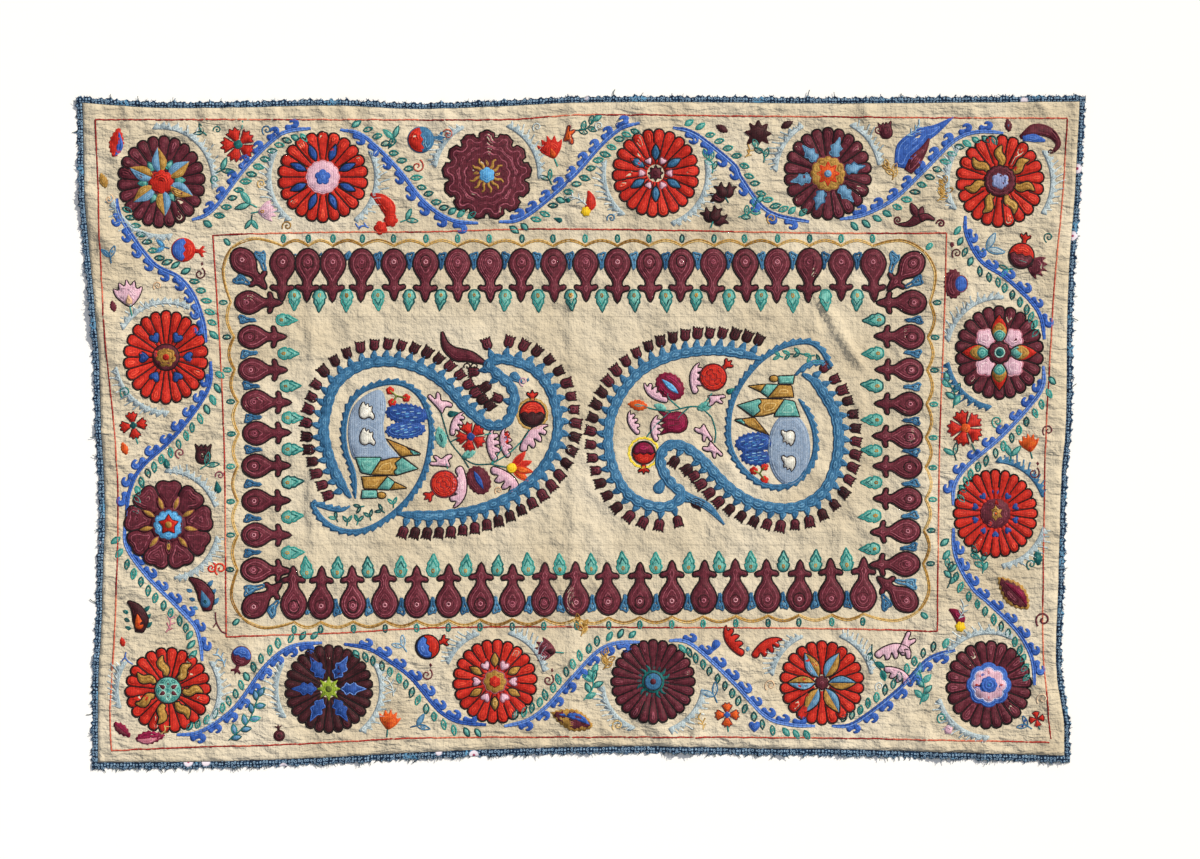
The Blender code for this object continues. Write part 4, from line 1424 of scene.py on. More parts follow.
def workPaisleys():
    for side in (0, 1):
        paisleyFrame(side)
    put([fill(throughPoints([(-301, 63), (-325, 54), (-342, 36), (-349, 8), (-347, -22), (-338, -42),
                             (-310, -42), (-274, -38), (-290, -18), (-296, 8),
                             (-292, 42)], True, 5), "periwinkle", pitch=3.2)] +
        rotatedParts(cap(1.05), -322, 31) + rotatedParts(cap(1.05), -321, -8) +
        hills() +
        berries([(-286, 62), (-262, 51), (-283, 44)], (-276, 54)))
    put(cloud(31, 14), -261, 27, -6)
    put(cloud(29, 12), -263, 3, 4)
    for x, y, turn in ((-330, -112, 110), (-367, -130, 40), (-350, -135, 0), (-334, -134, -10),
                       (-316, -127, 20), (-298, -118, 60), (-281, -108, 10)):
        put(blades("teal", "aqua", 0.62), x, y, turn)
    for points in ([(-211, 32), (-203, 5), (-196, -15), (-179, -37), (-168, -54)],
                   [(-179, -37), (-160, -48), (-135, -48)], [(-135, -48), (-122, -30), (-118, -20)],
                   [(-135, -48), (-108, -32), (-84, -8), (-78, 4)],
                   [(-135, -48), (-118, -52), (-108, -53)], [(-196, -15), (-186, -10), (-180, -8)],
                   [(-203, -40), (-200, -55)]):
        addRow("teal", throughPoints(points, step=3), False, 1, 0.75)
    for x, y, turn, size, parts in (
        (-208, 28, 18, 1.1, fork()), (-196, -4, -28, 0.85, spray()), (-196, -52, 62, 1.0, fork()),
        (-132, -44, 2, 1.05, spray()), (-112, -38, 6, 0.95, spray()), (-92, -26, -46, 1.2, spray()),
        (-178, -52, 172, 1.35, spray()), (-132, -52, 226, 1.25, spray()),
        (-165, -7, 96, 0.9, carnation(23, "red", "cobalt")),
        (-116, -22, -14, 0.95, bud("red", "sky", 26)),
        (-73, 27, 0, 1.0, pomegranate(19, "red", "maroon")),
        (-106, 88, -128, 1.0, teardrop("steelBlue", 26)), (-79, 82, 170, 0.7, teardrop("steelBlue", 14)),
        (-88, 68, 40, 0.8, curl("pink", 8)), (-104, -54, 0, 0.95, lily()),
        (-205, -78, 128, 0.95, pomegranate(21, "red", None, "maroon", True)),
        (-163, -54, 208, 0.94, padBud("burgundy", "cobalt")), (-129, -92, 0, 0.8, curl("peach", 7)),
        (-200, 26, -80, 1.0, teardrop("teal", 18)), (-206, -24, 14, 1.1, bud("aqua", "teal", 30)),
        (-178, -37, -70, 0.9, bud("aqua", "teal", 24))):
        put(parts, x, y, turn, size)
    halo = polar(lambda a: 23 + 0.8 * np.sin(14 * a), 60)
    for x, y in ((-73, 27), (94, -31)):
        addRow("gold" if x < 0 else "yellow", halo + (x, y), True, 0, 0.8)
        addRow("gold" if x < 0 else "yellow", halo * 0.93 + (x, y), True, 0, 0.8)
    # the second paisley's own contents
    put([fill(moved(ellipse(32, 54), 312, -26, 0), "periwinkle", pitch=3.2)] +
        rotatedParts(cap(0.95), 311, -8, 180) + rotatedParts(cap(0.95), 312, -46, 180) +
        rotatedParts(hills(), -10, -15, 180) +
        berries([(259, -58), (275, -52), (275, -72)], (268, -62)))
    put(cloud(27, 14), 259, -16, 6)
    put(cloud(22, 11), 262, -38, -4)
    for x, y, turn in ((298, 114, 80), (313, 117, 100), (328, 118, 80), (345, 114, 110), (358, 106, 60)):
        put(blades("teal", "aqua", 0.62), x, y, turn)
    for points in ([(196, 22), (180, 36), (163, 38), (135, 32), (109, 34), (92, 40)],
                   [(150, 34), (132, 50), (130, 58)], [(180, 36), (192, 52), (196, 58)],
                   [(163, 38), (150, 26), (145, 20)], [(135, 32), (112, 10), (98, -8)],
                   [(196, 22), (202, 0), (200, -16)]):
        addRow("teal", throughPoints(points, step=3), False, 1, 0.75)
    for x, y, turn, size, parts in (
        (150, 54, 49, 1.0, padBud("crimson", "sky")),
        (198, 82, -48, 0.95, pomegranate(21, "red", None, "maroon", True)),
        (100, 38, 82, 1.25, bud("orange", "aqua", 24)), (128, 44, 52, 0.95, spray()),
        (168, 58, -8, 1.0, spray()), (190, 54, -110, 0.85, fork()), (84, -4, 20, 0.8, spray()),
        (110, -14, -4, 0.85, spray()), (184, 12, 186, 0.9, fork()), (194, -14, 200, 0.9, fork()),
        (160, 15, 92, 2.1, tulip("crimson", "maroon")),
        (94, -31, 180, 0.95, pomegranate(18, "red", "crimson")),
        (112, -92, -30, 1.2, teardrop("steelBlue", 26)), (174, 34, -70, 1.0, bud("aqua", "teal", 26)),
        (128, 34, 70, 0.9, bud("aqua", "teal", 22)), (218, 58, -60, 0.9, teardrop("teal", 18))):
        put(parts, x, y, turn, size)


# materials
def bands(spacing):  # scale of a wave texture whose bands are this many metres apart
    return 2 * math.pi / (20 * spacing)


def cottonMaterial():
    # Unbleached cotton in plain weave, washed and line-dried: matt, warm cream, with thicker slubs here and
    # there. Its threads are about 0.5 mm; the weave is drawn at 2.4 mm so that it shows from above.
    material, tree, shader = newMaterial("unbleached_cotton_plain_weave")
    coords = addNode(tree, "ShaderNodeTexCoord").outputs["Object"]
    weave = []
    for direction in ("X", "Y"):
        weave.append(addNode(tree, "ShaderNodeTexWave", {"bands_direction": direction},
                             {"Scale": bands(0.0024), "Distortion": 1.6, "Detail": 2.0,
                              "Detail Scale": 1.4},
                             {"Vector": coords}).outputs["Fac"])
    weft = addNode(tree, "ShaderNodeMapping", None, {"Scale": (14.0, 240.0, 1.0)}, {"Vector": coords})
    warp = addNode(tree, "ShaderNodeMapping", None, {"Scale": (240.0, 14.0, 1.0)}, {"Vector": coords})
    slubs = [noise(tree, way.outputs["Vector"], 1.0, 3.0) for way in (weft, warp)]
    crumple = noise(tree, coords, 25.0, 5.0, Roughness=0.56)
    wash = noise(tree, coords, 5.5, 4.0)
    threadsMix = doMath(tree, "ADD", weave[0], weave[1])
    slubMix = doMath(tree, "ADD", slubs[0], slubs[1])
    tone = addNode(tree, "ShaderNodeValToRGB", None, None, {"Fac": wash})
    setRamp(tone, [(0.3, "#C4B69C"), (0.5, "#D2C6AE"), (0.72, "#DCD2BE")])
    shade = mapped(tree, slubMix, (0.55, 1.5), (0.90, 1.04))
    weaveShade = mapped(tree, threadsMix, (0.0, 2.0), (0.93, 1.02))
    both = doMath(tree, "MULTIPLY", shade, weaveShade)
    # two sharp pressed creases run the length of the cloth; the shadow along each is painted into the
    # colour as a narrow dark line
    split = addNode(tree, "ShaderNodeSeparateXYZ", None, None, {0: coords})
    for height in cloth["sharpCreases"]:
        wander = doMath(tree, "MULTIPLY_ADD", wash, 0.004, -0.002 - height)
        off = doMath(tree, "ADD", split.outputs["Y"], wander)
        gap = doMath(tree, "ABSOLUTE", off)
        # painted shade: the colour falls to 0.8 along the crease line
        dark = mapped(tree, gap, (0.0, 0.0016), (0.80, 1.0))
        both = doMath(tree, "MULTIPLY", both, dark)
    colour = addNode(tree, "ShaderNodeVectorMath", {"operation": "SCALE"}, None,
                     {0: tone.outputs["Color"], "Scale": both})
    tree.links.new(colour.outputs[0], shader.inputs["Base Color"])
    fine = bumpOf(tree, threadsMix, 0.35, 0.0003)
    slubBump = bumpOf(tree, slubMix, 0.4, 0.0007, fine)
    folds = bumpOf(tree, crumple, 1.0, 0.014, slubBump)
    # fine puckers that the stitching draws up between the border's flowers
    drawn = addNode(tree, "ShaderNodeAttribute", {"attribute_name": "gathered"}).outputs["Fac"]
    flatWay = addNode(tree, "ShaderNodeMapping", None,
                      {"Scale": (30.0, 85.0, 1.0), "Rotation": (0.0, 0.0, 0.08)}, {"Vector": coords})
    pleats = noise(tree, flatWay.outputs[0], 1.0, 3.0, Distortion=0.6)
    pleatHeight = doMath(tree, "MULTIPLY", pleats, drawn)
    gathers = bumpOf(tree, pleatHeight, 0.75, 0.0085, folds)
    tree.links.new(gathers, shader.inputs["Normal"])
    shader.inputs["Roughness"].default_value = 0.88
    shader.inputs["Specular IOR Level"].default_value = 0.25
    shader.inputs["Sheen Weight"].default_value = 0.08
    return material


# the light and dark ends of each yarn also carry the rows' painted sheen and painted shade
threadShades = {  # dark, middle and light of each dyed silk or wool yarn
    "red": ("#9A140C", "#D02A1A", "#E8543C"),
    "burgundy": ("#3E0F1C", "#6A2434", "#A4586A"),
    "wine": ("#44121E", "#702838", "#A85C6C"),
    "maroon": ("#240A10", "#46161F", "#743040"),
    "black": ("#080508", "#150A0E", "#2C1A20"),
    "vineBlue": ("#22499A", "#3E6CC4", "#6E94DA"),
    "steelBlue": ("#24557E", "#3F78A2", "#6CA0C2"),
    "paleSteel": ("#4E80A8", "#74A2C6", "#A4C4DC"),
    "teal": ("#063C42", "#137070", "#3AA49C"),
    "aqua": ("#3A8C88", "#7CBCB2", "#B2D8CC"),
    "paleBlue": ("#8FA3AE", "#B6C6CD", "#D8E2E4"),
    "periwinkle": ("#7C93B0", "#98AAC2", "#BAC9D8"),
    "sky": ("#3A86C8", "#62AEE0", "#98D0F0"),
    "gold": ("#8C6224", "#BE9448", "#E0C080"),
    "pink": ("#C89AB0", "#E6C0D0", "#F4DCE4"),
    "rose": ("#A04860", "#C8788C", "#E0A4B0"),
    "orange": ("#B83C10", "#E4641E", "#F49448"),
    "yellow": ("#D0A010", "#F2D020", "#FAE860"),
    "lime": ("#6E8420", "#A0B83C", "#C8D870"),
    "olive": ("#4C5820", "#748038", "#9AA45C"),
    "crimson": ("#54041E", "#8E0E40", "#C0306A"),
    "cobalt": ("#183878", "#2C56A8", "#5A84CC"),
    "white": ("#B8B8B0", "#E8E6DE", "#FAFAF6"),
    "lavender": ("#7C8CC0", "#A4B0DC", "#CCD2F0"),
    "peach": ("#CCA078", "#E2BE98", "#F0D8BC"),
    "ruleRed": ("#7E1016", "#B03028", "#DC7E62"),
}


def yarnMaterial(name):
    # Loosely spun silk and wool yarn in chain stitch: soft sheen, dyed unevenly, so that its shade changes
    # every few stitches; from row to row it changes by the dye and by painted sheen and painted shade, and
    # painted shade darkens it where one chain goes through the next.
    dark, middle, light = threadShades[name]
    material, tree, shader = newMaterial("chain_stitch_yarn_" + name)
    along = addNode(tree, "ShaderNodeUVMap", {"uv_map": "UVMap"}).outputs["UV"]
    tint = addNode(tree, "ShaderNodeAttribute", {"attribute_name": "tint"}).outputs["Fac"]
    place = addNode(tree, "ShaderNodeTexCoord").outputs["Object"]
    stretch = addNode(tree, "ShaderNodeMapping", None, {"Scale": (0.35, 3.0, 1.0)}, {"Vector": along})
    dye = noise(tree, stretch.outputs[0], 1.0, 3.0)
    patchy = noise(tree, place, 190.0, 2.0)
    # the row tint brings in painted sheen and painted shade along with the random dye
    dyeAndSheenLevel = doMath(tree, "MULTIPLY_ADD", dye, 0.62, tint)
    patchedLevel = doMath(tree, "MULTIPLY_ADD", patchy, 0.9, dyeAndSheenLevel)
    level = mapped(tree, patchedLevel, (0.62, 1.85))
    ramp = addNode(tree, "ShaderNodeValToRGB", None, None, {"Fac": level})
    setRamp(ramp, [(0.08, dark), (0.45, middle), (0.95, light)])
    split = addNode(tree, "ShaderNodeSeparateXYZ", None, None, {0: along})
    # painted shade: the colour is darkened to 0.62 where one chain goes through the next; the same pattern
    # drives the bump
    wave = doMath(tree, "PINGPONG", split.outputs["X"], 0.5)
    joint = mapped(tree, wave, (0.0, 0.22), (0.62, 1.0))
    colour = addNode(tree, "ShaderNodeVectorMath", {"operation": "SCALE"}, None,
                     {0: ramp.outputs["Color"], "Scale": joint})
    tree.links.new(colour.outputs[0], shader.inputs["Base Color"])
    fibres = addNode(tree, "ShaderNodeMapping", None,
                     {"Scale": (3.0, 22.0, 1.0), "Rotation": (0.0, 0.0, 0.35)}, {"Vector": along})
    fuzz = noise(tree, fibres.outputs[0], 1.0, 2.0)
    chain = bumpOf(tree, joint, 0.5, 0.0006)
    bump = bumpOf(tree, fuzz, 0.35, 0.0004, chain)
    tree.links.new(bump, shader.inputs["Normal"])
    shader.inputs["Roughness"].default_value = 0.62
    shader.inputs["Specular IOR Level"].default_value = 0.22
    shader.inputs["Sheen Weight"].default_value = 0.04
    shader.inputs["Sheen Roughness"].default_value = 0.5
    return material


def floorMaterial():  # matt white studio paper
    material, _, shader = newMaterial("white_studio_paper")
    shader.inputs["Base Color"].default_value = toLinear("#FAFAFA")
    shader.inputs["Roughness"].default_value = 0.9
    return material


# geometry nodes: rows of chain stitch along guide lines
def newTree(name, inputs):
    tree = bpy.data.node_groups.new(name, "GeometryNodeTree")
    tree.interface.new_socket("Geometry", in_out="OUTPUT", socket_type="NodeSocketGeometry")
    tree.interface.new_socket("Geometry", in_out="INPUT", socket_type="NodeSocketGeometry")
    for label, kind in inputs:
        tree.interface.new_socket(label, in_out="INPUT", socket_type="NodeSocket" + kind)
    return tree, addNode(tree, "NodeGroupInput"), addNode(tree, "NodeGroupOutput")


def chainStitchTree():
    tree, given, result = newTree("chain stitch", [("Half stitch", "Float"), ("Row width", "Float"),
                                                   ("Row height", "Float"), ("Pinch", "Float"),
                                                   ("Underlay", "Object"), ("Yarn", "Material")])
    sizes = given.outputs
    lines = addNode(tree, "GeometryNodeMeshToCurve", None, None, {"Mesh": sizes["Geometry"]})
    stitches = addNode(tree, "GeometryNodeResampleCurve", {"mode": "LENGTH"}, None,
                       {"Curve": lines.outputs["Curve"], "Length": sizes["Half stitch"]})
    upright = addNode(tree, "GeometryNodeSetCurveNormal", {"mode": "Z_UP"}, None,
                      {"Curve": stitches.outputs["Curve"]})
    runLength = addNode(tree, "GeometryNodeSplineParameter").outputs["Length"]
    chains = doMath(tree, "DIVIDE", runLength, sizes["Half stitch"])
    halves = doMath(tree, "MULTIPLY", chains, 0.5)
    alongRow = addNode(tree, "GeometryNodeStoreNamedAttribute", {"data_type": "FLOAT", "domain": "POINT"},
                       {"Name": "along"}, {"Geometry": upright.outputs["Curve"], "Value": halves})
    # a three-sided section: base on the cloth, crest upwards
    sideways = doMath(tree, "DIVIDE", sizes["Row width"], 3 ** 0.5)
    upwards = doMath(tree, "DIVIDE", sizes["Row height"], 1.5)
    down = doMath(tree, "MULTIPLY", upwards, -0.5)
    stretch = addNode(tree, "ShaderNodeCombineXYZ", None, {"Z": 1.0}, {"X": sideways, "Y": upwards})
    seat = addNode(tree, "ShaderNodeCombineXYZ", None, None, {"Y": down})
    triangle = addNode(tree, "GeometryNodeCurvePrimitiveCircle", {"mode": "RADIUS"},
                       {"Resolution": 3, "Radius": 1.0})
    turned = addNode(tree, "GeometryNodeTransform", None, {"Rotation": (0.0, 0.0, -0.5 * math.pi)},
                     {"Geometry": triangle.outputs["Curve"]})
    raised = addNode(tree, "GeometryNodeTransform", None, None,
                     {"Geometry": turned.outputs[0], "Scale": stretch.outputs[0],
                      "Translation": seat.outputs[0]})
    roundFactor = addNode(tree, "GeometryNodeSplineParameter").outputs["Factor"]
    profile = addNode(tree, "GeometryNodeStoreNamedAttribute", {"data_type": "FLOAT", "domain": "POINT"},
                      {"Name": "across"}, {"Geometry": raised.outputs[0], "Value": roundFactor})
    place = addNode(tree, "GeometryNodeInputIndex").outputs[0]
    odd = doMath(tree, "MODULO", place, 2.0)
    pinch = doMath(tree, "MULTIPLY", odd, sizes["Pinch"])
    full = doMath(tree, "SUBTRACT", 1.0, pinch)
    own = addNode(tree, "GeometryNodeInputNamedAttribute", {"data_type": "FLOAT"}, {"Name": "rowWidth"})
    scale = doMath(tree, "MULTIPLY", full, own.outputs["Attribute"])
    tubes = addNode(tree, "GeometryNodeCurveToMesh", None, {"Fill Caps": True},
                    {"Curve": alongRow.outputs[0], "Profile Curve": profile.outputs[0], "Scale": scale})
    alongNow = addNode(tree, "GeometryNodeInputNamedAttribute", {"data_type": "FLOAT"}, {"Name": "along"})
    acrossNow = addNode(tree, "GeometryNodeInputNamedAttribute", {"data_type": "FLOAT"}, {"Name": "across"})
    flat = addNode(tree, "ShaderNodeCombineXYZ", None, None,
                   {"X": alongNow.outputs["Attribute"], "Y": acrossNow.outputs["Attribute"]})
    unwrapped = addNode(tree, "GeometryNodeStoreNamedAttribute",
                        {"data_type": "FLOAT2", "domain": "CORNER"},
                        {"Name": "UVMap"}, {"Geometry": tubes.outputs["Mesh"], "Value": flat.outputs[0]})
    # the slab of painted shade is joined in under the rows
    under = addNode(tree, "GeometryNodeObjectInfo", {"transform_space": "ORIGINAL"}, None,
                    {"Object": sizes["Underlay"]})
    both = addNode(tree, "GeometryNodeJoinGeometry")
    tree.links.new(unwrapped.outputs[0], both.inputs[0])
    tree.links.new(under.outputs["Geometry"], both.inputs[0])
    smooth = addNode(tree, "GeometryNodeSetShadeSmooth", {"domain": "FACE"}, {"Shade Smooth": True},
                     {"Geometry": both.outputs[0]})
    real = addNode(tree, "GeometryNodeRealizeInstances", None, None, {"Geometry": smooth.outputs[0]})
    finish = addNode(tree, "GeometryNodeSetMaterial", None, None,
                     {"Geometry": real.outputs[0], "Material": sizes["Yarn"]})
    tree.links.new(finish.outputs[0], result.inputs["Geometry"])
    return tree


def grown(guide, tree, values):  # runs a tree on a guide object and keeps the result as a plain mesh
    modifier = guide.modifiers.new("grow", "NODES")
    modifier.node_group = tree
    for item in tree.interface.items_tree:
        if item.in_out == "INPUT" and item.name in values:
            modifier[item.identifier] = values[item.name]
    depsgraph = bpy.context.evaluated_depsgraph_get()
    mesh = bpy.data.meshes.new_from_object(guide.evaluated_get(depsgraph), depsgraph=depsgraph)
    bpy.data.objects.remove(guide)
    return mesh


def rowGuide(name, rows):  # guide lines on the cloth's surface, one for each row
    points = np.concatenate([row[0] for row in rows])
    counts = [len(row[0]) for row in rows]
    lift = np.repeat([row[2] * stitch["layerLift"] + 0.12 - 0.2 * row[3] for row in rows], counts)
    heights = surface(points[:, 0], points[:, 1]) + lift
    edges = []
    start = 0
    for (_, closed, _, _, _), count in zip(rows, counts):
        edges += [(start + k, start + k + 1) for k in range(count - 1)]
        if closed:
            edges.append((start + count - 1, start))
        start += count
    mesh = bpy.data.meshes.new(name)
    mesh.from_pydata((np.column_stack((points, heights)) * mm).tolist(), edges, [])
    for label, column in (("rowWidth", 3), ("tint", 4)):
        layer = mesh.attributes.new(label, "FLOAT", "POINT")
        layer.data.foreach_set("value", np.repeat([row[column] for row in rows], counts).astype(np.float32))
    return addObject(name, mesh)


def underlay(name, patches):  # thin slab under each fill, dark: painted shade between rows
    points = []
    faces = []
    for outline, layer in patches:
        low, high = outline.min(0) + stitch["shadeSlabCell"] / 2, outline.max(0)
        gx, gy = np.meshgrid(np.arange(low[0], high[0], stitch["shadeSlabCell"]),
                             np.arange(low[1], high[1], stitch["shadeSlabCell"]))
        middle = np.stack((gx.ravel(), gy.ravel()), axis=-1)
        if len(middle):
            middle = middle[fieldOf(outline, middle[:, 0], middle[:, 1]) > 3.0]
        every = np.concatenate((outline, middle))
        rim = [(k, (k + 1) % len(outline)) for k in range(len(outline))]
        flat = delaunay_2d_cdt([Vector(p) for p in every], rim, [], 0, 1e-4, False)
        plan, triangles = np.array([tuple(p) for p in flat[0]]), np.array(flat[2])
        middles = plan[triangles].mean(axis=1)
        triangles = triangles[fieldOf(outline, middles[:, 0], middles[:, 1]) > 0.05]
        top = surface(plan[:, 0], plan[:, 1]) + 0.5 + layer * stitch["layerLift"]
        count = len(plan)
        base = len(points)
        points += np.column_stack((plan, top)).tolist() + np.column_stack((plan, top - 1.0)).tolist()
        rimEdges = {}
        for triangle in triangles:
            a, b, c = triangle
            if np.cross(plan[b] - plan[a], plan[c] - plan[a]) < 0:
                a, b, c = c, b, a
            faces.append((base + a, base + b, base + c))
            faces.append((base + count + c, base + count + b, base + count + a))
            for edge in ((a, b), (b, c), (c, a)):
                if (edge[1], edge[0]) in rimEdges:
                    del rimEdges[(edge[1], edge[0])]
                else:
                    rimEdges[edge] = True
        faces += [(base + b, base + a, base + count + a, base + count + b) for a, b in rimEdges]
    mesh = bpy.data.meshes.new(name)
    mesh.from_pydata((np.array(points or np.zeros((0, 3))) * mm).tolist(), [], faces)
    # the slab's low tint sets it near the yarn's dark end: painted shade in the gaps between the rows
    tint = mesh.attributes.new("tint", "FLOAT", "POINT")
    tint.data.foreach_set("value", np.full(len(mesh.vertices), 0.2, dtype=np.float32))
    places = mesh.uv_layers.new(name="UVMap")
    if len(mesh.loops):
        corners = np.array(points)[[loop.vertex_index for loop in mesh.loops]][:, :2]
        places.data.foreach_set("uv", (corners / (3.5, 2.4)).astype(np.float32).ravel())
    thing = addObject(name, mesh)
    thing.hide_render = True
    return thing


# the cloth
def makeCloth():
    columns = int(cloth["length"] / cloth["cell"])
    rows = int(cloth["width"] / cloth["cell"])
    plan = clothGrid(columns, rows)
    x, y = plan[..., 0], plan[..., 1]
    upper = surface(x, y)
    mesh = sheetMesh("ground_cloth_visible", plan, np.maximum(upper - cloth["topLift"] - 0.1, 0.05), upper)
    mesh.materials.append(cottonMaterial())
    share = np.tile(borderShare(x, y).ravel(), 2).astype(np.float32)
    mesh.attributes.new("gathered", "FLOAT", "POINT").data.foreach_set("value", share)
    thing = addObject("cotton_ground", mesh)
    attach(thing, "root")
    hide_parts("ground_cloth")
    return thing


# the printed edging strips and their frayed threads
edging = {
    "gap": 0.3,           # between the cloth and a strip
    "widths": {"far": 9.0, "near": 10.0, "left": 9.0, "right": 9.0},
    "ways": {"far": (0, 1), "near": (0, -1), "left": (-1, 0), "right": (1, 0)},
    "cell": 2.3,          # mesh cell along a strip
    "uneven": 2.6,        # how far the torn edge wanders
    "across": (0.0, 0.25, 0.6, 0.85, 1.0),
    "thick": (0.8, 1.5, 1.6, 1.2, 0.5),
    "threadEvery": 2.2,   # frayed threads along the torn edge
}


def stripPlan(name):  # a strip's plan in lines from the cloth outwards, with the run along it
    width = edging["widths"][name]
    way = np.array(edging["ways"][name], dtype=float)
    swap = name in ("left", "right")
    count = int(cloth["width" if swap else "length"] / edging["cell"])
    base = sidePoints(name, np.linspace(0, 1, count), swap)
    if not swap:  # the far and near strips run over the ends of the side strips
        ends = np.array([(9.2, 0), (6.2, 0), (3.1, 0)])
        base = np.concatenate((base[0] - ends, base, base[-1] + ends[::-1]))
    run = np.concatenate(([0.0], np.cumsum(np.hypot(*np.diff(base, axis=0).T))))
    seed = len(name) * 7.0 + width
    torn = np.sin(run / 2.2 + seed + np.sin(run / 9)) + 0.8 * np.sin(run / 1.25 + 2 * seed)
    torn = torn + np.sin(run / 6.3) * np.sin(run / 31)
    plan = []
    for share in edging["across"]:
        reach = edging["gap"] + width * share + edging["uneven"] * share ** 3 * torn / 2.2
        plan.append(base + way * reach[:, None])
    return base, run, np.array(plan)


def printedMaterial():
    # Thin indigo cotton print, cut in strips and left raw: navy with rows of small white rings, patches
    # of light blue leaves and now and then a white flower with a pink heart. Matt, a little faded.
    material, tree, shader = newMaterial("indigo_printed_cotton")
    along = addNode(tree, "ShaderNodeUVMap", {"uv_map": "UVMap"}).outputs["UV"]
    faded = noise(tree, along, 0.11, 4.0)
    base = addNode(tree, "ShaderNodeValToRGB", None, None, {"Fac": faded})
    setRamp(base, [(0.32, "#08162A"), (0.54, "#0F2742"), (0.76, "#1A3E60")])
    ringCell = addNode(tree, "ShaderNodeTexVoronoi", {"feature": "F1"}, {"Scale": 0.21, "Randomness": 0.35},
                       {"Vector": along})
    ring = doMath(tree, "PINGPONG", ringCell.outputs["Distance"], 0.32)
    ringOn = mapped(tree, ring, (0.20, 0.28))
    leaves = noise(tree, along, 0.3, 2.0)
    where = noise(tree, along, 0.022, 0.0)
    leafOn = mapped(tree, leaves, (0.48, 0.56))
    here = mapped(tree, where, (0.64, 0.68))
    leafMix = doMath(tree, "MULTIPLY", leafOn, here)
    flowers = addNode(tree, "ShaderNodeTexVoronoi", {"feature": "F1"}, {"Scale": 0.020, "Randomness": 1.0},
                      {"Vector": along})
    petal = mapped(tree, flowers.outputs["Distance"], (0.16, 0.13))
    heartOn = mapped(tree, flowers.outputs["Distance"], (0.06, 0.045))
    colour = base.outputs["Color"]
    for share, paint in ((ringOn, "#86A6C2"), (leafMix, "#5C94BA"), (petal, "#E6DDEA"),
                         (heartOn, "#A83C60")):
        mix = addNode(tree, "ShaderNodeMix", {"data_type": "RGBA"}, {7: toLinear(paint)},
                      {0: share, 6: colour})
        colour = mix.outputs[2]
    tree.links.new(colour, shader.inputs["Base Color"])
    weave = noise(tree, along, 1.6, 3.0)
    bump = bumpOf(tree, weave, 0.5, 0.0008)
    tree.links.new(bump, shader.inputs["Normal"])
    shader.inputs["Roughness"].default_value = 0.85
    shader.inputs["Specular IOR Level"].default_value = 0.2
    return material


def threadMaterial(name, dark, light):  # loose cotton thread ends, faded unevenly
    material, tree, shader = newMaterial(name)
    place = addNode(tree, "ShaderNodeTexCoord").outputs["Object"]
    fading = noise(tree, place, 60.0, 2.0)
    ramp = addNode(tree, "ShaderNodeValToRGB", None, None, {"Fac": fading})
    setRamp(ramp, [(0.35, dark), (0.65, light)])
    tree.links.new(ramp.outputs["Color"], shader.inputs["Base Color"])
    shader.inputs["Roughness"].default_value = 0.9
    return material


def frayTree():  # thread ends scattered along a line, in tufts, all leaning one way more or less
    tree, given, result = newTree("frayed edge", [("Spacing", "Float"), ("Facing", "Float"),
                                                  ("Longest", "Float"), ("Tufts", "Float"),
                                                  ("Seed", "Int"), ("Thread", "Material")])
    sizes = given.outputs
    curve = addNode(tree, "GeometryNodeMeshToCurve", None, None, {"Mesh": sizes["Geometry"]})
    spots = addNode(tree, "GeometryNodeCurveToPoints", {"mode": "LENGTH"}, None,
                    {"Curve": curve.outputs["Curve"], "Length": sizes["Spacing"]})
    bend = addNode(tree, "GeometryNodeCurveQuadraticBezier", None,
                   {"Resolution": 4, "Start": (0, 0, 0), "Middle": (0.0006, 0.0005, 0.0002),
                    "End": (0.001, 0.0002, 0)})
    section = addNode(tree, "GeometryNodeCurvePrimitiveCircle", {"mode": "RADIUS"},
                      {"Resolution": 3, "Radius": 0.0002})
    single = addNode(tree, "GeometryNodeCurveToMesh", None, {"Fill Caps": True},
                     {"Curve": bend.outputs["Curve"], "Profile Curve": section.outputs["Curve"]})
    spread = addNode(tree, "FunctionNodeRandomValue", {"data_type": "FLOAT"}, {2: 0.0, 3: 1.0},
                     {"Seed": sizes["Seed"]})
    rare = doMath(tree, "POWER", spread.outputs[1], 2.6)
    length = addNode(tree, "ShaderNodeMapRange", None, {"To Min": 1.6},
                     {"Value": rare, "To Max": sizes["Longest"]})
    curlSize = addNode(tree, "FunctionNodeRandomValue", {"data_type": "FLOAT"}, {2: -4.0, 3: 4.0},
                       {"Seed": sizes["Seed"]})
    scale = addNode(tree, "ShaderNodeCombineXYZ", None, {"Z": 1.0},
                    {"X": length.outputs[0], "Y": curlSize.outputs[1]})
    lean = addNode(tree, "FunctionNodeRandomValue", {"data_type": "FLOAT"}, {2: -1.1, 3: 1.1})
    heading = doMath(tree, "ADD", lean.outputs[1], sizes["Facing"])
    turn = addNode(tree, "ShaderNodeCombineXYZ", None, None, {"Z": heading})
    tufts = addNode(tree, "ShaderNodeTexNoise", None, {"Scale": 95.0, "Detail": 1.0})
    kept = addNode(tree, "FunctionNodeCompare", {"data_type": "FLOAT", "operation": "GREATER_THAN"}, None,
                   {0: tufts.outputs["Fac"], 1: sizes["Tufts"]})
    tuftSet = addNode(tree, "GeometryNodeInstanceOnPoints", None, None,
                      {"Points": spots.outputs["Points"], "Selection": kept.outputs[0],
                       "Instance": single.outputs["Mesh"],
                       "Rotation": turn.outputs[0], "Scale": scale.outputs[0]})
    real = addNode(tree, "GeometryNodeRealizeInstances", None, None, {"Geometry": tuftSet.outputs[0]})
    finish = addNode(tree, "GeometryNodeSetMaterial", None, None,
                     {"Geometry": real.outputs[0], "Material": sizes["Thread"]})
    tree.links.new(finish.outputs[0], result.inputs["Geometry"])
    return tree


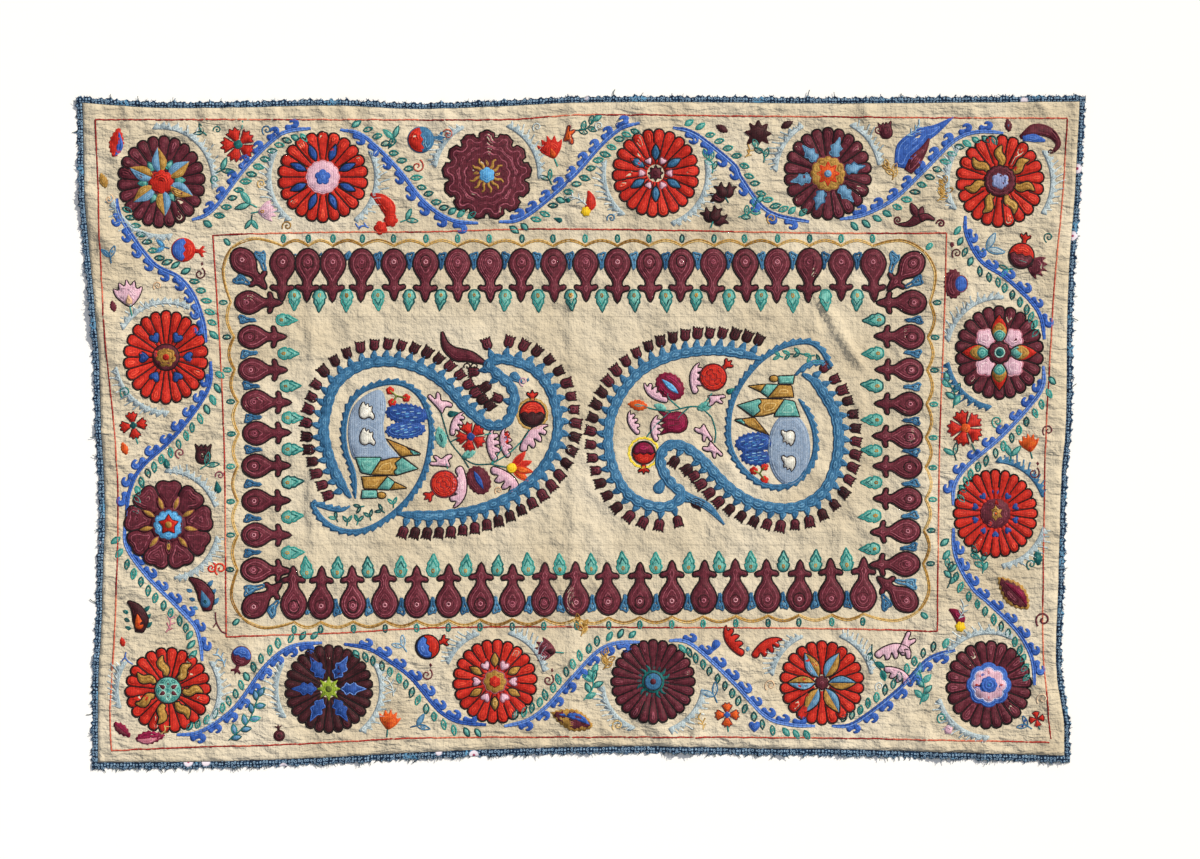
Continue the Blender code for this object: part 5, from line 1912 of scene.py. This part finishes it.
def makeEdging():
    pieces = []
    printed = printedMaterial()
    fray = frayTree()
    # the grey ends are loose threads in a dark grey-green that stands for the fraying's shadow: painted
    # shadow
    ends = {"navy": threadMaterial("frayed_indigo_thread", "#0F2846", "#2E5C84"),
            "grey": threadMaterial("frayed_thread_painted_shadow", "#2C3A3E", "#5E706C")}
    for number, name in enumerate(("far", "near", "left", "right")):
        base, run, plan = stripPlan(name)
        level = surface(base[:, 0], base[:, 1]) - cloth["topLift"]
        under = np.broadcast_to(np.maximum(level - 0.1, 0.05), plan.shape[:2])
        upper = level + np.array(edging["thick"])[:, None]
        across = np.array(edging["across"])[:, None] * edging["widths"][name] + 40 * number
        flatPlan = np.stack((np.broadcast_to(run, plan.shape[:2]), np.broadcast_to(across, plan.shape[:2])),
                            axis=-1)
        if name in ("near", "right"):  # the lines are turned round, so that the faces look upwards
            plan, under, upper, flatPlan = plan[::-1], under[::-1], upper[::-1], flatPlan[::-1]
        mesh = sheetMesh("printed_strip_" + name, plan, under, upper)
        corners = np.concatenate((flatPlan.reshape(-1, 2),) * 2)[[loop.vertex_index for loop in mesh.loops]]
        mesh.uv_layers.new(name="UVMap").data.foreach_set("uv", corners.astype(np.float32).ravel())
        mesh.materials.append(printed)
        strip = addObject("printed_strip_" + name, mesh)
        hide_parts("edging_" + name)
        outer = plan[0] if name in ("near", "right") else plan[-1]
        facing = math.atan2(edging["ways"][name][1], edging["ways"][name][0])
        pieces.append(strip)
        # thread, spacing, longest, share of the edge left bare, how far out it starts
        layers = [("navy", edging["threadEvery"], 4.2, 0.36, 0.0)]
        # the grey ends lie thickest along the near side, where they stand for the fraying's painted shadow
        layers += [("grey", 2.2, 7.0, 0.45, 1.2)] if name == "near" else [("grey", 12.0, 10.0, 0.5, 0.5)]
        for colour, spacing, longest, tufts, back in layers:
            points = outer - np.array(edging["ways"][name]) * (1.6 - 0.8 * back)
            edgeLine = np.column_stack((points, level + 0.7)) * mm
            guideMesh = bpy.data.meshes.new("edge_line")
            guideMesh.from_pydata(edgeLine.tolist(), [(k, k + 1) for k in range(len(edgeLine) - 1)], [])
            grownMesh = grown(addObject("edge_line", guideMesh), fray,
                              {"Spacing": spacing * mm, "Facing": facing, "Longest": longest,
                               "Tufts": tufts, "Seed": number + 1, "Thread": ends[colour]})
            pieces.append(addObject("frayed_" + colour + "_" + name, grownMesh))
    for piece in pieces:
        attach(piece, "root")
    return pieces


# camera, light and floor
view = {"centre": (0.0285, 0.00375), "height": 4.0, "lens": 80.0, "sensor": 36.0}


def addLight(name, kind, energy, place, target, size, colour="#FFFFFF"):
    data = bpy.data.lights.new(name, kind)
    data.energy = energy
    data.color = toLinear(colour)[:3]
    if kind == "AREA":
        data.size = size
    else:
        data.angle = size
    thing = addObject(name, data)
    thing.location = place
    thing.rotation_euler = (Vector(target) - Vector(place)).to_track_quat("-Z", "Y").to_euler()
    return thing


def makeStudio():
    camera = bpy.data.cameras.new("camera")
    camera.lens, camera.sensor_width = view["lens"], view["sensor"]
    thing = addObject("camera", camera)
    thing.location = (*view["centre"], view["height"])
    scene.camera = thing
    addLight("window_key", "SUN", 4.4, (2.2, 1.9, 1.95), (0, 0, 0), 0.04, "#FFF6E6")
    addLight("overhead_fill", "AREA", 14.0, (-0.6, -0.5, 3.2), (0, 0, 0), 3.0, "#F2F6FF")
    world = bpy.data.worlds.new("studio")
    world.use_nodes = True
    world.node_tree.nodes["Background"].inputs["Color"].default_value = toLinear("#EEF2FA")
    world.node_tree.nodes["Background"].inputs["Strength"].default_value = 0.34
    scene.world = world
    scene.view_settings.view_transform = "Standard"
    floor = bpy.data.meshes.new("floor")
    reach = 6.0
    floor.from_pydata([(-reach, -reach, 0), (reach, -reach, 0), (reach, reach, 0), (-reach, reach, 0)], [],
                      [(0, 1, 2, 3)])
    floor.materials.append(floorMaterial())
    addObject("floor", floor)


makeStudio()
ground = makeCloth()
trim = makeEdging()
print("cloth laid and edged")
workRosettes()
print("rosettes worked")
workVines()
workArcs()
print("vines and feathers worked")
workInnerBorder()
workRules()
print("borders worked")
workFillers()
workPaisleys()
print("flowers and paisleys worked")

tree = chainStitchTree()
total = 0
for name, work in sorted(threads.items()):
    guide = rowGuide("rows_" + name, work["rows"])
    slabs = underlay("underlay_" + name, work["patches"])
    mesh = grown(guide, tree, {"Half stitch": stitch["length"] / 2 * mm,
                               "Row width": stitch["rowWidth"] * mm,
                               "Row height": stitch["height"] * mm, "Pinch": 0.2, "Underlay": slabs,
                               "Yarn": yarnMaterial(name)})
    bpy.data.objects.remove(slabs)
    piece = addObject("stitches_" + name, mesh)
    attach(piece, "root")
    mesh.calc_loop_triangles()
    total += len(mesh.loop_triangles)
    print(name, len(work["rows"]), "rows", len(mesh.loop_triangles), "triangles")
print("stitched", total, "triangles")
for piece in [ground] + trim:
    piece.data.calc_loop_triangles()
    total += len(piece.data.loop_triangles)
print("in all", total, "triangles")
